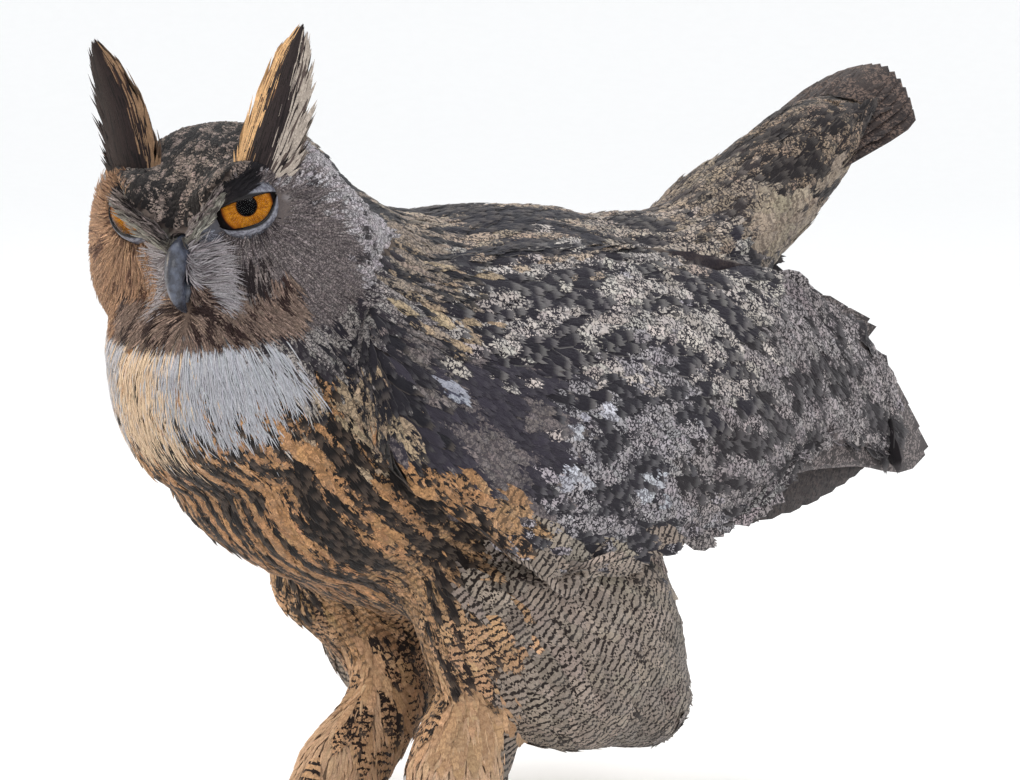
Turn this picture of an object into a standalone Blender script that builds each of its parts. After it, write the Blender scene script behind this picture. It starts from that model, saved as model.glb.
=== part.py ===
"""Eurasian eagle owl, life size, leaning forward with a level back, raised tail and drooped wings.

Metres, +Z up. The bird faces -Y and its left side is +X. The body is modelled whole from smooth
masses and parted by thin cuts; wings, tail, tufts, eyes, bill, legs and claws are solids of their
own that meet it with a hair-thin gap. Heights are measured from the soles. The origin of the
finished part is on the floor, below the middle of its box.
"""

import math

import bmesh
import bpy
from mathutils import Matrix, Vector

MM = 0.001

# Driving dimensions, in millimetres and degrees.
GAP = 0.4                     # clearance between neighbouring solids
VOXEL = 5.0                   # cell size when the body masses are fused
BODY_DETAIL = 0.041           # share of the fused body's triangles that is kept

TRUNK_CENTRE, TRUNK_RADII = (0, -38, 227), (108, 152, 112)
BREAST_CENTRE, BREAST_RADII = (0, -124, 224), (98, 86, 84)
THROAT_CENTRE, THROAT_RADII = (1, -190, 257), (74, 69, 60)
FLANK_CENTRE, FLANK_RADII = (60, -8, 112), (48, 72, 68)
FRINGE_CENTRE, FRINGE_RADII = (58, 20, 82), (38, 38, 37)
NECK_PATH = ((0, -70, 262, 84, 74), (0, -125, 280, 80, 68), (2, -175, 316, 68, 58))
RUMP_PATH = ((0, 50, 254, 78, 63), (0, 124, 293, 52, 42), (0, 166, 320, 40, 36),
             (2, 204, 344, 32, 33), (3, 236, 366, 29, 25), (4, 264, 383, 25, 11))

HEAD_CENTRE = (0, -191, 339)
HEAD_YAW, HEAD_PITCH, HEAD_ROLL = 23, 20, 4.5   # turned left, tipped down, left side higher
CRANIUM_RADII = (60, 60, 47)                    # sideways, forwards, upwards
DISC_RADII = (46, 28, 58)                       # each half of the face
DISC_SIDE, DISC_AHEAD, DISC_DROP, DISC_TURN = 40, 16, 14, 32
BROW_RADIUS = 11
MUZZLE_CENTRE, MUZZLE_RADII = (0, 41, -24), (28, 24, 30)

EYE_RADIUS, CORNEA_RADIUS, CORNEA_AHEAD = 18, 14.5, 5
EYE_SIDE, EYE_AHEAD, EYE_UP = 38, 52, 19.5       # front of each eye, in the head's frame
EYE_SPLAY = 26                                  # degrees that each eye looks outwards

BILL_PATH = ((46, 4, 9, 8.5), (62, 4, 7, 7), (69.5, -3, 6, 6.3),
             (72, -12, 4.6, 5), (70, -20, 2.8, 3.3), (66.5, -25.5, 0.8, 1))
JAW_PATH = ((46, -10, 7, 4), (59, -11.5, 5.6, 3.6), (64, -15, 4.2, 2.8), (66, -19.5, 1.8, 1.4))

TUFT_LEAN = {1: 8, -1: -2}     # extra sideways reach of the left and right tips
TUFT_PATH = ((34, 14, 34, 15, 9), (42, 11, 52, 13.5, 8), (49, 7, 70, 10.5, 6),
             (55, 3, 86, 6.5, 4), (60, 0, 101, 1.2, 1.2))

WING_STATIONS = (             # y, top z, bottom z, half-width of the bird, thickness
    (-174, 284, 216, 102, 16), (-152, 306, 197, 113, 22), (-68, 321, 150, 121, 20),
    (7, 319, 158, 117, 15), (75, 313, 166, 105, 11), (140, 298, 202, 88, 8),
    (200, 270, 196, 71, 6), (250, 224, 184, 56, 5), (292, 178, 170, 44, 4))
PRIMARY_STATIONS = (
    (22, 226, 160, 101, 5), (110, 226, 161, 84, 5), (168, 220, 162, 70, 4.5),
    (208, 212, 168, 60, 4), (240, 204, 178, 52, 4), (262, 196, 184, 46, 3))
WING_CENTRE_Z, WING_HALF_HEIGHT = 202, 142      # ellipse that the wing's cross-section follows
RIGHT_WING_SHIFT = (22, 26, 72)                 # of the right wing's tip, which droops less
RIGHT_WING_BEND_Y = 0
WING_PARTING_Y, WING_PARTING_LEAN = 62, 24      # cut between shoulder and flight feathers

TAIL_ROOT, TAIL_TIP = (0, 132, 318), (2, 291, 399)
TAIL_ROOT_WIDTH, TAIL_TIP_WIDTH, TAIL_SAG, TAIL_ROLL = 46, 72, 12, 18
TAIL_ROUND = 18               # how much shorter the outer feathers are

LEG_SPREAD = 37               # from the middle of the body to each leg
FOOT_STEP = {1: 0, -1: -26}   # how far each foot stands ahead of the left one
THIGH_PATH = ((56, -66, 165, 50, 52), (48, -58, 122, 39, 44), (37, -50, 84, 27, 31))
SHANK_PATH = ((38, -48, 92, 16, 16), (37, -50, 77, 26, 28), (37, -64, 52, 27, 30),
              (38, -74, 32, 26, 31), (38, -79, 16, 18, 24))
FOOT_CENTRE, FOOT_RADII = (38, -82, 14), (19, 24, 15)
TOES = (                      # name, heading from straight ahead, length, radius
    ("inner", 14, 48, 11.5), ("middle", -16, 54, 11.5), ("outer", -132, 42, 10.5),
    ("hind", 168, 34, 10.5))
CLAW_LENGTH, CLAW_RADIUS, CLAW_GAP = 30, 4.2, 2.2

FEATHER = (0.42, 0.33, 0.23)


def clear_scene():
    for obj in list(bpy.data.objects):
        bpy.data.objects.remove(obj, do_unlink=True)


def material(name, colour, roughness):
    found = bpy.data.materials.get(name)
    if found:
        return found
    made = bpy.data.materials.new(name)
    made.use_nodes = True
    shader = made.node_tree.nodes["Principled BSDF"]
    shader.inputs["Base Color"].default_value = (*colour, 1)
    shader.inputs["Roughness"].default_value = roughness
    shader.inputs["Metallic"].default_value = 0.0
    made.diffuse_color = (*colour, 1)
    return made


def paint(obj, name, colour, roughness=0.85):
    obj.data.materials.clear()
    obj.data.materials.append(material(name, colour, roughness))
    return obj


def new_object(name, mesh):
    obj = bpy.data.objects.new(name, mesh)
    bpy.context.scene.collection.objects.link(obj)
    return obj


def evaluated_copy(obj, name):
    """A new object holding obj's mesh with its modifiers applied and its place in the mesh."""
    bpy.context.view_layer.update()
    graph = bpy.context.evaluated_depsgraph_get()
    mesh = bpy.data.meshes.new_from_object(obj.evaluated_get(graph))
    mesh.transform(obj.matrix_world)
    return new_object(name, mesh)


def settle(obj):
    """Applies obj's modifiers."""
    name = obj.name
    made = evaluated_copy(obj, name + "_made")
    bpy.data.objects.remove(obj, do_unlink=True)
    made.name = name
    return made


def metres(point):
    return Vector(point) * MM


# --- forms -------------------------------------------------------------------------------------

def ellipsoid(name, centre, radii, turn=None, segments=32):
    """A ball at centre; turn is a rotation matrix for its axes."""
    mesh = bpy.data.meshes.new(name)
    ball = bmesh.new()
    bmesh.ops.create_uvsphere(ball, u_segments=segments, v_segments=segments // 2, radius=1)
    place = Matrix.Translation(metres(centre))
    if turn is not None:
        place = place @ turn.to_4x4()
    bmesh.ops.transform(ball, matrix=place @ Matrix.Diagonal((*metres(radii), 1)), verts=ball.verts)
    ball.to_mesh(mesh)
    ball.free()
    return new_object(name, mesh)


def in_triangles(obj):
    """Splits obj's faces into triangles."""
    form = bmesh.new()
    form.from_mesh(obj.data)
    bmesh.ops.triangulate(form, faces=form.faces, quad_method="BEAUTY", ngon_method="EAR_CLIP")
    form.to_mesh(obj.data)
    form.free()
    return obj


def rings_to_mesh(name, rings):
    """A closed mesh through rings of points, each end closed by a cap."""
    mesh = bpy.data.meshes.new(name)
    form = bmesh.new()
    made = [[form.verts.new(p) for p in ring] for ring in rings]
    sides = len(made[0])
    for near, far in zip(made, made[1:]):
        for i in range(sides):
            j = (i + 1) % sides
            form.faces.new((near[i], near[j], far[j], far[i]))
    form.faces.new(made[0][::-1])
    form.faces.new(made[-1])
    bmesh.ops.recalc_face_normals(form, faces=form.faces)
    form.to_mesh(mesh)
    form.free()
    return new_object(name, mesh)


def smooth_path(stations, steps):
    """Catmull-Rom values through the stations, steps between each pair."""
    points = [Vector(s) for s in stations]
    ends = [2 * points[0] - points[1]] + points + [2 * points[-1] - points[-2]]
    found = []
    for a, b, c, d in zip(ends, ends[1:], ends[2:], ends[3:]):
        for step in range(steps):
            t = step / steps
            found.append(0.5 * (2 * b + (c - a) * t + (2 * a - 5 * b + 4 * c - d) * t * t
                                + (3 * b - a - 3 * c + d) * t ** 3))
    return found + [points[-1]]


def tube(name, stations, sides=16, steps=3, frame=None, across=(1, 0, 0)):
    """A tube with an oval section through stations (x, y, z, radius across, radius along)."""
    frame = frame or Matrix.Diagonal((MM, MM, MM, 1))
    path = smooth_path(stations, steps)
    places = [Vector(p[:3]) for p in path]
    rings = []
    for i, p in enumerate(path):
        ahead = (places[min(i + 1, len(path) - 1)] - places[max(i - 1, 0)]).normalized()
        flat = (Vector(across) - ahead * ahead.dot(Vector(across))).normalized()
        tall = ahead.cross(flat)
        wide, deep = p[3], p[4]
        ring = []
        for k in range(sides):
            angle = math.tau * k / sides
            ring.append(frame @ (places[i] + flat * (wide * math.cos(angle))
                                 + tall * (deep * math.sin(angle))))
        rings.append(ring)
    return rings_to_mesh(name, rings)


def mirrored(obj, name):
    """obj's mirror image across the middle of the bird."""
    made = new_object(name, obj.data.copy())
    made.data.transform(Matrix.Diagonal((-1, 1, 1, 1)))
    made.data.flip_normals()
    return made


# --- cutting and joining -----------------------------------------------------------------------

def grown(obj, amount):
    """A copy of obj with its surface moved outwards, to cut a clearance with."""
    made = new_object(obj.name + "_grown", obj.data.copy())
    push = made.modifiers.new("Grow", "DISPLACE")
    push.strength, push.mid_level = amount * MM, 0.0
    return in_triangles(settle(made))


def carve(obj, cutter, gap=GAP):
    """Cuts cutter, grown by the gap, out of obj."""
    tool = grown(cutter, gap)
    cut = obj.modifiers.new("Carve", "BOOLEAN")
    cut.operation, cut.solver, cut.object = "DIFFERENCE", "EXACT", tool
    made = in_triangles(settle(in_triangles(obj)))
    bpy.data.objects.remove(tool, do_unlink=True)
    return made


def united(name, pieces):
    """One closed body from overlapping closed pieces."""
    first = in_triangles(pieces[0])
    for other in map(in_triangles, pieces[1:]):
        join = first.modifiers.new("Join", "BOOLEAN")
        join.operation, join.solver, join.object = "UNION", "EXACT", other
    made = in_triangles(settle(first))
    for other in pieces[1:]:
        bpy.data.objects.remove(other, do_unlink=True)
    made.name = name
    return made


def fused(name, pieces, voxel, rounds, detail):
    """Overlapping masses melted into one smooth closed skin."""
    mesh = bpy.data.meshes.new(name)
    form = bmesh.new()
    for piece in pieces:
        form.from_mesh(piece.data)
        bpy.data.objects.remove(piece, do_unlink=True)
    form.to_mesh(mesh)
    form.free()
    obj = new_object(name, mesh)
    melt = obj.modifiers.new("Melt", "REMESH")
    melt.mode, melt.voxel_size = "VOXEL", voxel * MM
    soften = obj.modifiers.new("Soften", "SMOOTH")
    soften.factor, soften.iterations = 0.5, rounds
    thin = obj.modifiers.new("Thin", "DECIMATE")
    thin.ratio = detail
    return settle(obj)


def drop_scraps(form):
    """Keeps the largest of the separate bodies in a mesh."""
    waiting, bodies = set(form.verts), []
    while waiting:
        body, edge = set(), [waiting.pop()]
        while edge:
            vert = edge.pop()
            body.add(vert)
            near = {e.other_vert(vert) for e in vert.link_edges} & waiting
            waiting -= near
            edge.extend(near)
        bodies.append(body)
    bodies.sort(key=len, reverse=True)
    for body in bodies[1:]:
        bmesh.ops.delete(form, geom=list(body), context="VERTS")


def part_of(obj, name, planes):
    """The part of obj on the positive side of every plane (point, normal), with closed cuts."""
    form = bmesh.new()
    form.from_mesh(obj.data)
    for point, normal in planes:
        way = Vector(normal).normalized()
        start = metres(point) + way * (GAP / 2 * MM)
        geometry = form.verts[:] + form.edges[:] + form.faces[:]
        cut = bmesh.ops.bisect_plane(form, geom=geometry, plane_co=start, plane_no=way,
                                     clear_inner=True, dist=1e-7)
        rim = [e for e in cut["geom_cut"] if isinstance(e, bmesh.types.BMEdge)]
        bmesh.ops.triangle_fill(form, edges=rim, use_beauty=True)
    drop_scraps(form)
    bmesh.ops.triangulate(form, faces=form.faces, quad_method="BEAUTY", ngon_method="EAR_CLIP")
    bmesh.ops.recalc_face_normals(form, faces=form.faces)
    mesh = bpy.data.meshes.new(name)
    form.to_mesh(mesh)
    form.free()
    return new_object(name, mesh)


def other_side(plane):
    return plane[0], tuple(-c for c in plane[1])


# --- head --------------------------------------------------------------------------------------

def head_frame():
    """Matrix from the head's own (sideways, ahead, up) millimetres to the bird's metres."""
    yaw, pitch, roll = (math.radians(a) for a in (HEAD_YAW, HEAD_PITCH, HEAD_ROLL))
    ahead = Vector((math.sin(yaw) * math.cos(pitch), -math.cos(yaw) * math.cos(pitch),
                    -math.sin(pitch)))
    side = Vector((math.cos(yaw), math.sin(yaw), 0))
    up = ahead.cross(side)
    side, up = (side * math.cos(roll) + up * math.sin(roll),
                up * math.cos(roll) - side * math.sin(roll))
    turn = Matrix((side, ahead, up)).transposed()
    return Matrix.Translation(metres(HEAD_CENTRE)) @ (turn * MM).to_4x4()


def head_ball(name, frame, centre, radii, twist=0, segments=32):
    """An ellipsoid placed in the head's frame, turned outwards by twist degrees."""
    ball = ellipsoid(name, (0, 0, 0), radii, segments=segments)
    local = Matrix.Translation(Vector(centre)) @ Matrix.Rotation(math.radians(twist), 4, "Z")
    ball.data.transform(frame @ local @ Matrix.Diagonal((1 / MM, 1 / MM, 1 / MM, 1)))
    return ball


def head_masses(frame):
    masses = [head_ball("cranium", frame, (0, 0, 0), CRANIUM_RADII),
              head_ball("muzzle", frame, MUZZLE_CENTRE, MUZZLE_RADII)]
    for side in (1, -1):
        masses.append(head_ball("disc", frame, (side * DISC_SIDE, DISC_AHEAD, -DISC_DROP),
                                DISC_RADII, -side * DISC_TURN))
        brow = ((side * 3, 46, 10, BROW_RADIUS, BROW_RADIUS),
                (side * 22, 44, 30, BROW_RADIUS, BROW_RADIUS),
                (side * 44, 24, 42, BROW_RADIUS, BROW_RADIUS))
        masses.append(tube("brow", brow, frame=frame, across=(0, 1, 0)))
    return masses


def eye(name, frame, side):
    splay = math.radians(EYE_SPLAY) * side
    gaze = Vector((math.sin(splay), math.cos(splay), 0))
    front = Vector((side * EYE_SIDE, EYE_AHEAD, EYE_UP))
    centre = front - gaze * (CORNEA_AHEAD + CORNEA_RADIUS)
    ball = head_ball("ball", frame, centre, (EYE_RADIUS,) * 3, segments=16)
    cornea = head_ball("cornea", frame, centre + gaze * CORNEA_AHEAD, (CORNEA_RADIUS,) * 3,
                       segments=16)
    return paint(united(name, [ball, cornea]), "eye", (0.72, 0.36, 0.05), 0.1)


def bill(name, frame, path):
    stations = [(0, ahead, up, wide, deep) for ahead, up, wide, deep in path]
    made = tube(name, stations, sides=10, steps=2, frame=frame)
    return paint(made, "horn", (0.12, 0.13, 0.15), 0.35)


def ear_tuft(name, frame, side):
    stations = []
    for s, ahead, up, wide, deep in TUFT_PATH:
        lean = TUFT_LEAN[side] * max(0, up - 40) / 59
        stations.append((side * (s + lean), ahead, up, wide, deep))
    made = tube(name, stations, sides=8, steps=1, frame=frame)
    return paint(made, "tuft", (0.10, 0.08, 0.07))


# --- wings and tail ----------------------------------------------------------------------------

def wing_point(width, z):
    """Half-width of the closed wing at height z: an ellipse that curls over the back."""
    rise = (z - WING_CENTRE_Z) / WING_HALF_HEIGHT
    return width * math.sqrt(max(0.08, 1 - rise * rise))


def feather_plate(name, stations, steps=2, across=7):
    """A curved plate from the wing's front edge to its tip, thinning towards its rim."""
    rows = smooth_path([(*s, 0)[:5] for s in stations], steps)
    rings = []
    for y, top, bottom, width, thick in rows:
        outer, inner = [], []
        for k in range(across + 1):
            share = k / across
            z = bottom + (top - bottom) * share
            x = wing_point(width, z)
            rim = math.sqrt(max(0.05, 1 - (2 * share - 1) ** 4))
            outer.append(metres((x, y, z)))
            inner.append(metres((x - thick * rim, y, z)))
        rings.append(outer + inner[::-1])
    return rings_to_mesh(name, rings)


def raised_tip(wing):
    """Bends the right wing up and inwards towards its tip."""
    length = (WING_STATIONS[-1][0] - RIGHT_WING_BEND_Y) * MM
    for vert in wing.data.vertices:
        share = max(0.0, vert.co.y - RIGHT_WING_BEND_Y * MM) / length
        vert.co += metres(RIGHT_WING_SHIFT) * share ** 1.6
    return wing


def wing_solids():
    """Left and right wings, each parted into shoulder, secondaries and primaries."""
    shell = feather_plate("shell", WING_STATIONS)
    primaries = feather_plate("primaries", PRIMARY_STATIONS, across=4)
    primaries = carve(primaries, shell)
    lean = math.radians(WING_PARTING_LEAN)
    parting = ((0, WING_PARTING_Y, WING_CENTRE_Z), (0, -math.cos(lean), math.sin(lean)))
    made = {}
    for side, suffix in ((1, "left"), (-1, "right")):
        pieces = {"wing": part_of(shell, "arm", [parting]),
                  "secondaries": part_of(shell, "rear", [other_side(parting)]),
                  "primaries": new_object("tip", primaries.data.copy())}
        for kind, piece in pieces.items():
            if side < 0:
                piece = raised_tip(mirrored(piece, piece.name + "_r"))
            piece.name = f"{kind}_{suffix}"
            made[piece.name] = paint(piece, kind, (0.20, 0.17, 0.15))
    for spare in (shell, primaries):
        bpy.data.objects.remove(spare, do_unlink=True)
    for obj in list(bpy.data.objects):
        if obj.name in ("arm", "rear", "tip"):
            bpy.data.objects.remove(obj, do_unlink=True)
    return made


def tail_solid():
    """A stack of tail feathers as one arched plate with a rounded end."""
    root, tip = Vector(TAIL_ROOT), Vector(TAIL_TIP)
    ahead = (tip - root).normalized()
    roll = math.radians(TAIL_ROLL)
    flat = Vector((1, 0, 0))
    flat = (flat - ahead * flat.dot(ahead)).normalized()
    tall = flat.cross(ahead)
    flat, tall = (flat * math.cos(roll) - tall * math.sin(roll),
                  tall * math.cos(roll) + flat * math.sin(roll))
    length, rows, across = (tip - root).length, 8, 8
    rings = []
    for r in range(rows + 1):
        share = r / rows
        half = (TAIL_ROOT_WIDTH + (TAIL_TIP_WIDTH - TAIL_ROOT_WIDTH) * share ** 0.7) / 2
        thick = 9 - 5 * share
        top, under = [], []
        for k in range(across + 1):
            u = 2 * k / across - 1
            reach = length * share - TAIL_ROUND * share ** 4 * u * u
            place = root + ahead * reach + flat * (half * u) - tall * (TAIL_SAG * u * u * share)
            rim = thick * math.sqrt(max(0.1, 1 - u ** 4))
            top.append((place + tall * rim / 2) * MM)
            under.append((place - tall * rim / 2) * MM)
        rings.append(top + under[::-1])
    return paint(rings_to_mesh("tail", rings), "tail", (0.24, 0.19, 0.15))


# --- legs and feet -----------------------------------------------------------------------------

def flattened(obj, level=0.0):
    """Cuts off what lies below the level, leaving a flat sole."""
    form = bmesh.new()
    form.from_mesh(obj.data)
    cut = bmesh.ops.bisect_plane(form, geom=form.verts[:] + form.edges[:] + form.faces[:],
                                 plane_co=(0, 0, level * MM), plane_no=(0, 0, 1),
                                 clear_inner=True, dist=1e-7)
    rim = [e for e in cut["geom_cut"] if isinstance(e, bmesh.types.BMEdge)]
    bmesh.ops.triangle_fill(form, edges=rim, use_beauty=True)
    bmesh.ops.recalc_face_normals(form, faces=form.faces)
    form.to_mesh(obj.data)
    form.free()
    return obj


def toe_direction(heading, side):
    angle = math.radians(heading)
    return Vector((-side * math.sin(angle), -math.cos(angle), 0))


def foot_centre(side):
    return Vector((side * FOOT_CENTRE[0], FOOT_CENTRE[1] + FOOT_STEP[side], 0))


def toe(heading, length, radius, side):
    """A feathered toe that arches from the ball of the foot to its end."""
    way = toe_direction(heading, side)
    start = foot_centre(side)
    reach = length + FOOT_RADII[0] * 0.4
    stations = []
    for share, sink, size in ((0, 1, 1), (0.45, 1, 1.05), (0.8, 1.5, 0.95), (1, 0.5, 0.7)):
        p = start + way * (reach * share)
        tall = radius * size * 0.92
        stations.append((p.x, p.y, tall - sink, radius * size, tall))
    across = way.cross(Vector((0, 0, 1)))
    return tube("toe", stations, sides=8, steps=1, across=across)


def claw(name, heading, length, side):
    """A horn talon that leaves the toe's end, arches over and points down."""
    way = toe_direction(heading, side)
    start = foot_centre(side) + way * (length + FOOT_RADII[0] * 0.4 + CLAW_GAP)
    stations = []
    for share in (0, 0.3, 0.6, 0.85, 1):
        ahead = CLAW_LENGTH * math.sin(share * math.radians(74)) * 0.9
        height = 8.2 + 4 * math.sin(share * math.pi) - 7.9 * share ** 1.6
        size = CLAW_RADIUS * (1 - share) ** 0.7 + 0.8
        p = start + way * ahead
        stations.append((p.x, p.y, height, size * 0.85, size))
    across = way.cross(Vector((0, 0, 1)))
    made = flattened(tube(name, stations, sides=6, steps=1, across=across))
    return paint(made, "claw", (0.05, 0.045, 0.04), 0.3)


def leg_solids(thighs):
    for side, suffix in ((1, "left"), (-1, "right")):
        step = FOOT_STEP[side]
        path = [(side * x, y + step * (96 - z) / 80, z, wide, deep)
                for x, y, z, wide, deep in SHANK_PATH]
        shank = tube("shank_" + suffix, path, sides=12, steps=1)
        shank = carve(shank, thighs[suffix], 2 * GAP)
        centre = foot_centre(side) + Vector((0, 0, FOOT_CENTRE[2]))
        ball = ellipsoid("ball", centre, FOOT_RADII, segments=14)
        foot = united("foot_" + suffix,
                      [ball] + [toe(heading, length, radius, side)
                                for _, heading, length, radius in TOES])
        foot = carve(foot, shank, 2 * GAP)
        paint(flattened(foot), "shank", (0.55, 0.42, 0.29))
        paint(shank, "shank", (0.55, 0.42, 0.29))
        for kind, heading, length, _ in TOES:
            claw(f"claw_{kind}_{suffix}", heading, length, side)


# --- the bird ----------------------------------------------------------------------------------

def body_masses(frame):
    masses = [ellipsoid("trunk", TRUNK_CENTRE, TRUNK_RADII),
              ellipsoid("breast", BREAST_CENTRE, BREAST_RADII),
              ellipsoid("throat", THROAT_CENTRE, THROAT_RADII),
              tube("nape", NECK_PATH, sides=24, steps=4),
              tube("rump", RUMP_PATH, sides=24, steps=4)]
    for side in (1, -1):
        for centre, radii in ((FLANK_CENTRE, FLANK_RADII), (FRINGE_CENTRE, FRINGE_RADII)):
            masses.append(ellipsoid("flank", (side * centre[0], *centre[1:]), radii))
        path = [(side * x, y, z, wide, deep) for x, y, z, wide, deep in THIGH_PATH]
        masses.append(tube("thigh", path, sides=20, steps=4))
    return masses + head_masses(frame)


def centre_on_floor():
    """Moves every solid so that the origin is on the floor, below the middle of the whole box."""
    solids = list(bpy.context.scene.objects)
    points = [vert.co for solid in solids for vert in solid.data.vertices]
    low = Vector([min(p[i] for p in points) for i in range(3)])
    high = Vector([max(p[i] for p in points) for i in range(3)])
    shift = Vector((-(low.x + high.x) / 2, -(low.y + high.y) / 2, -low.z))
    for solid in solids:
        solid.data.transform(Matrix.Translation(shift))


def build():
    clear_scene()
    frame = head_frame()
    body = fused("body", body_masses(frame), VOXEL, 7, BODY_DETAIL)
    inserts = [tail_solid(), *wing_solids().values()]

    inserts += [eye("eye_left", frame, 1), eye("eye_right", frame, -1)]
    upper = bill("bill_upper", frame, BILL_PATH)
    lower = bill("bill_lower", frame, JAW_PATH)
    inserts += [ear_tuft("ear_tuft_left", frame, 1), ear_tuft("ear_tuft_right", frame, -1)]
    for insert in (*inserts, lower, upper):
        body = carve(body, insert, 2 * GAP)
    carve(lower, upper)

    nape_cut = ((0, -130, 352), (0.249, -0.587, 0.76))
    neck_cut = ((0, -62, 340), (0, -0.645, 0.764))
    rump_cut = ((0, 100, 292), (0, 0.85, 0.527))
    thigh_cut = ((0, 0, 119), (0, 0, -1))
    middle = ((0, 0, 0), (1, 0, 0))
    paint(part_of(body, "head", [nape_cut]), "head", FEATHER)
    paint(part_of(body, "neck", [other_side(nape_cut), neck_cut]), "neck", FEATHER)
    paint(part_of(body, "trunk", [other_side(neck_cut), other_side(rump_cut),
                                  other_side(thigh_cut)]), "trunk", FEATHER)
    paint(part_of(body, "rump", [rump_cut, other_side(thigh_cut)]), "rump", FEATHER)
    thighs = {"left": part_of(body, "thigh_left", [thigh_cut, middle]),
              "right": part_of(body, "thigh_right", [thigh_cut, other_side(middle)])}
    for thigh in thighs.values():
        paint(thigh, "thigh", (0.50, 0.42, 0.33))
    bpy.data.objects.remove(body, do_unlink=True)
    leg_solids(thighs)
    centre_on_floor()


build()
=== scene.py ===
import math
from collections import namedtuple
from itertools import product

import bmesh
import bpy
import numpy as np
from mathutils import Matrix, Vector
from mathutils.bvhtree import BVHTree
from mathutils.kdtree import KDTree


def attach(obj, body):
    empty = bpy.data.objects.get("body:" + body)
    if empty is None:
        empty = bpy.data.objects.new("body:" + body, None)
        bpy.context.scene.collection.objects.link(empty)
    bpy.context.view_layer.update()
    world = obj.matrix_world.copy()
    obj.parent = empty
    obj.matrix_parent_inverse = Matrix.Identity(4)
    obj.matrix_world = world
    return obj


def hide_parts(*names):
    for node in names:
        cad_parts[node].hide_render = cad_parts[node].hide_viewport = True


bl_info = {
    "name": "Mounted Eagle Owl",
    "version": (1, 0, 0),
    "blender": (4, 5, 0),
    "location": "3D View > Sidebar > Owl",
    "description": "Builds the skin, plumage, eyes, bill and claws of a mounted eagle owl",
    "category": "Object",
}

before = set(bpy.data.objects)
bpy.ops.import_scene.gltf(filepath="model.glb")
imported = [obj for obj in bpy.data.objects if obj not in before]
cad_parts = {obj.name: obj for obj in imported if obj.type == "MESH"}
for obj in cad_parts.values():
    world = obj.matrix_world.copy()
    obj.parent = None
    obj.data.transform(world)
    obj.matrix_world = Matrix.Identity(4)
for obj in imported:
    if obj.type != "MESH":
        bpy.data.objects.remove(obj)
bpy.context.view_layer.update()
MM = 0.001
SEED = 7

# --- the bird's own directions ---

HEAD_YAW, HEAD_PITCH, HEAD_ROLL = 23, 20, 4.5
HEAD_CENTRE = np.array((0.0, -220.81, 339.0))


def head_turn():
    """Rows are the head's sideways, ahead and up directions."""
    yaw, pitch, roll = (math.radians(a) for a in (HEAD_YAW, HEAD_PITCH, HEAD_ROLL))
    ahead = np.array((math.sin(yaw) * math.cos(pitch), -math.cos(yaw) * math.cos(pitch),
                      -math.sin(pitch)))
    side = np.array((math.cos(yaw), math.sin(yaw), 0.0))
    up = np.cross(ahead, side)
    return np.array((side * math.cos(roll) + up * math.sin(roll), ahead,
                     up * math.cos(roll) - side * math.sin(roll)))


HEAD_TURN = head_turn()


def to_head(points):
    """Metres in the frame to the head's millimetres."""
    return (np.asarray(points) / MM - HEAD_CENTRE) @ HEAD_TURN.T


def from_head(points):
    """The head's millimetres to metres in the frame."""
    return (np.asarray(points, dtype=float) @ HEAD_TURN + HEAD_CENTRE) * MM


def unit(vectors):
    """Each vector at length one."""
    vectors = np.asarray(vectors, dtype=float)
    size = np.linalg.norm(vectors, axis=-1, keepdims=True)
    return vectors / np.maximum(size, 1e-12)


def tone(red, green, blue):
    """A paint colour in 0 to 255 steps as the shader's linear colour."""
    steps = [c / 255 for c in (red, green, blue)]
    return tuple(c / 12.92 if c <= 0.04045 else ((c + 0.055) / 1.055) ** 2.4 for c in steps)


def paint(red, green, blue):
    """The same with full cover."""
    return (*tone(red, green, blue), 1.0)


# --- modelling helpers ---

def nothing_selected():
    """Back to object mode with nothing selected."""
    if bpy.context.object and bpy.context.object.mode != "OBJECT":
        bpy.ops.object.mode_set(mode="OBJECT")
    bpy.ops.object.select_all(action="DESELECT")


def make_active(obj):
    """Selects only this object."""
    nothing_selected()
    obj.select_set(True)
    bpy.context.view_layer.objects.active = obj
    return obj


def finish_modifiers(obj):
    """Applies the modifiers in their order."""
    make_active(obj)
    for modifier in list(obj.modifiers):
        bpy.ops.object.modifier_apply(modifier=modifier.name)


def at_origin(obj):
    """Leaves the object's place in its mesh."""
    make_active(obj)
    bpy.ops.object.transform_apply(location=True, rotation=True, scale=True)


def edited(obj, step, **settings):
    """Runs one edit-mode step on the whole mesh."""
    make_active(obj)
    bpy.ops.object.mode_set(mode="EDIT")
    bpy.ops.mesh.select_all(action="SELECT")
    step(**settings)
    bpy.ops.object.mode_set(mode="OBJECT")


def placed(name, data):
    """A new object of the scene that shows the data."""
    made = bpy.data.objects.new(name, data)
    bpy.context.scene.collection.objects.link(made)
    return made


def joined(objects, name):
    """One named object from several."""
    nothing_selected()
    for obj in objects:
        obj.select_set(True)
    bpy.context.view_layer.objects.active = objects[0]
    if len(objects) > 1:
        bpy.ops.object.join()
    made = bpy.context.object
    made.name = name
    made.data.name = name
    return made


def copy_of(node):
    """A free copy of a CAD node's mesh with its corners merged."""
    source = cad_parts[node]
    obj = placed(node + "_copy", source.data.copy())
    obj.data.transform(source.matrix_world)
    obj.data.materials.clear()
    edited(obj, bpy.ops.mesh.remove_doubles, threshold=1e-5)
    return obj


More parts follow.
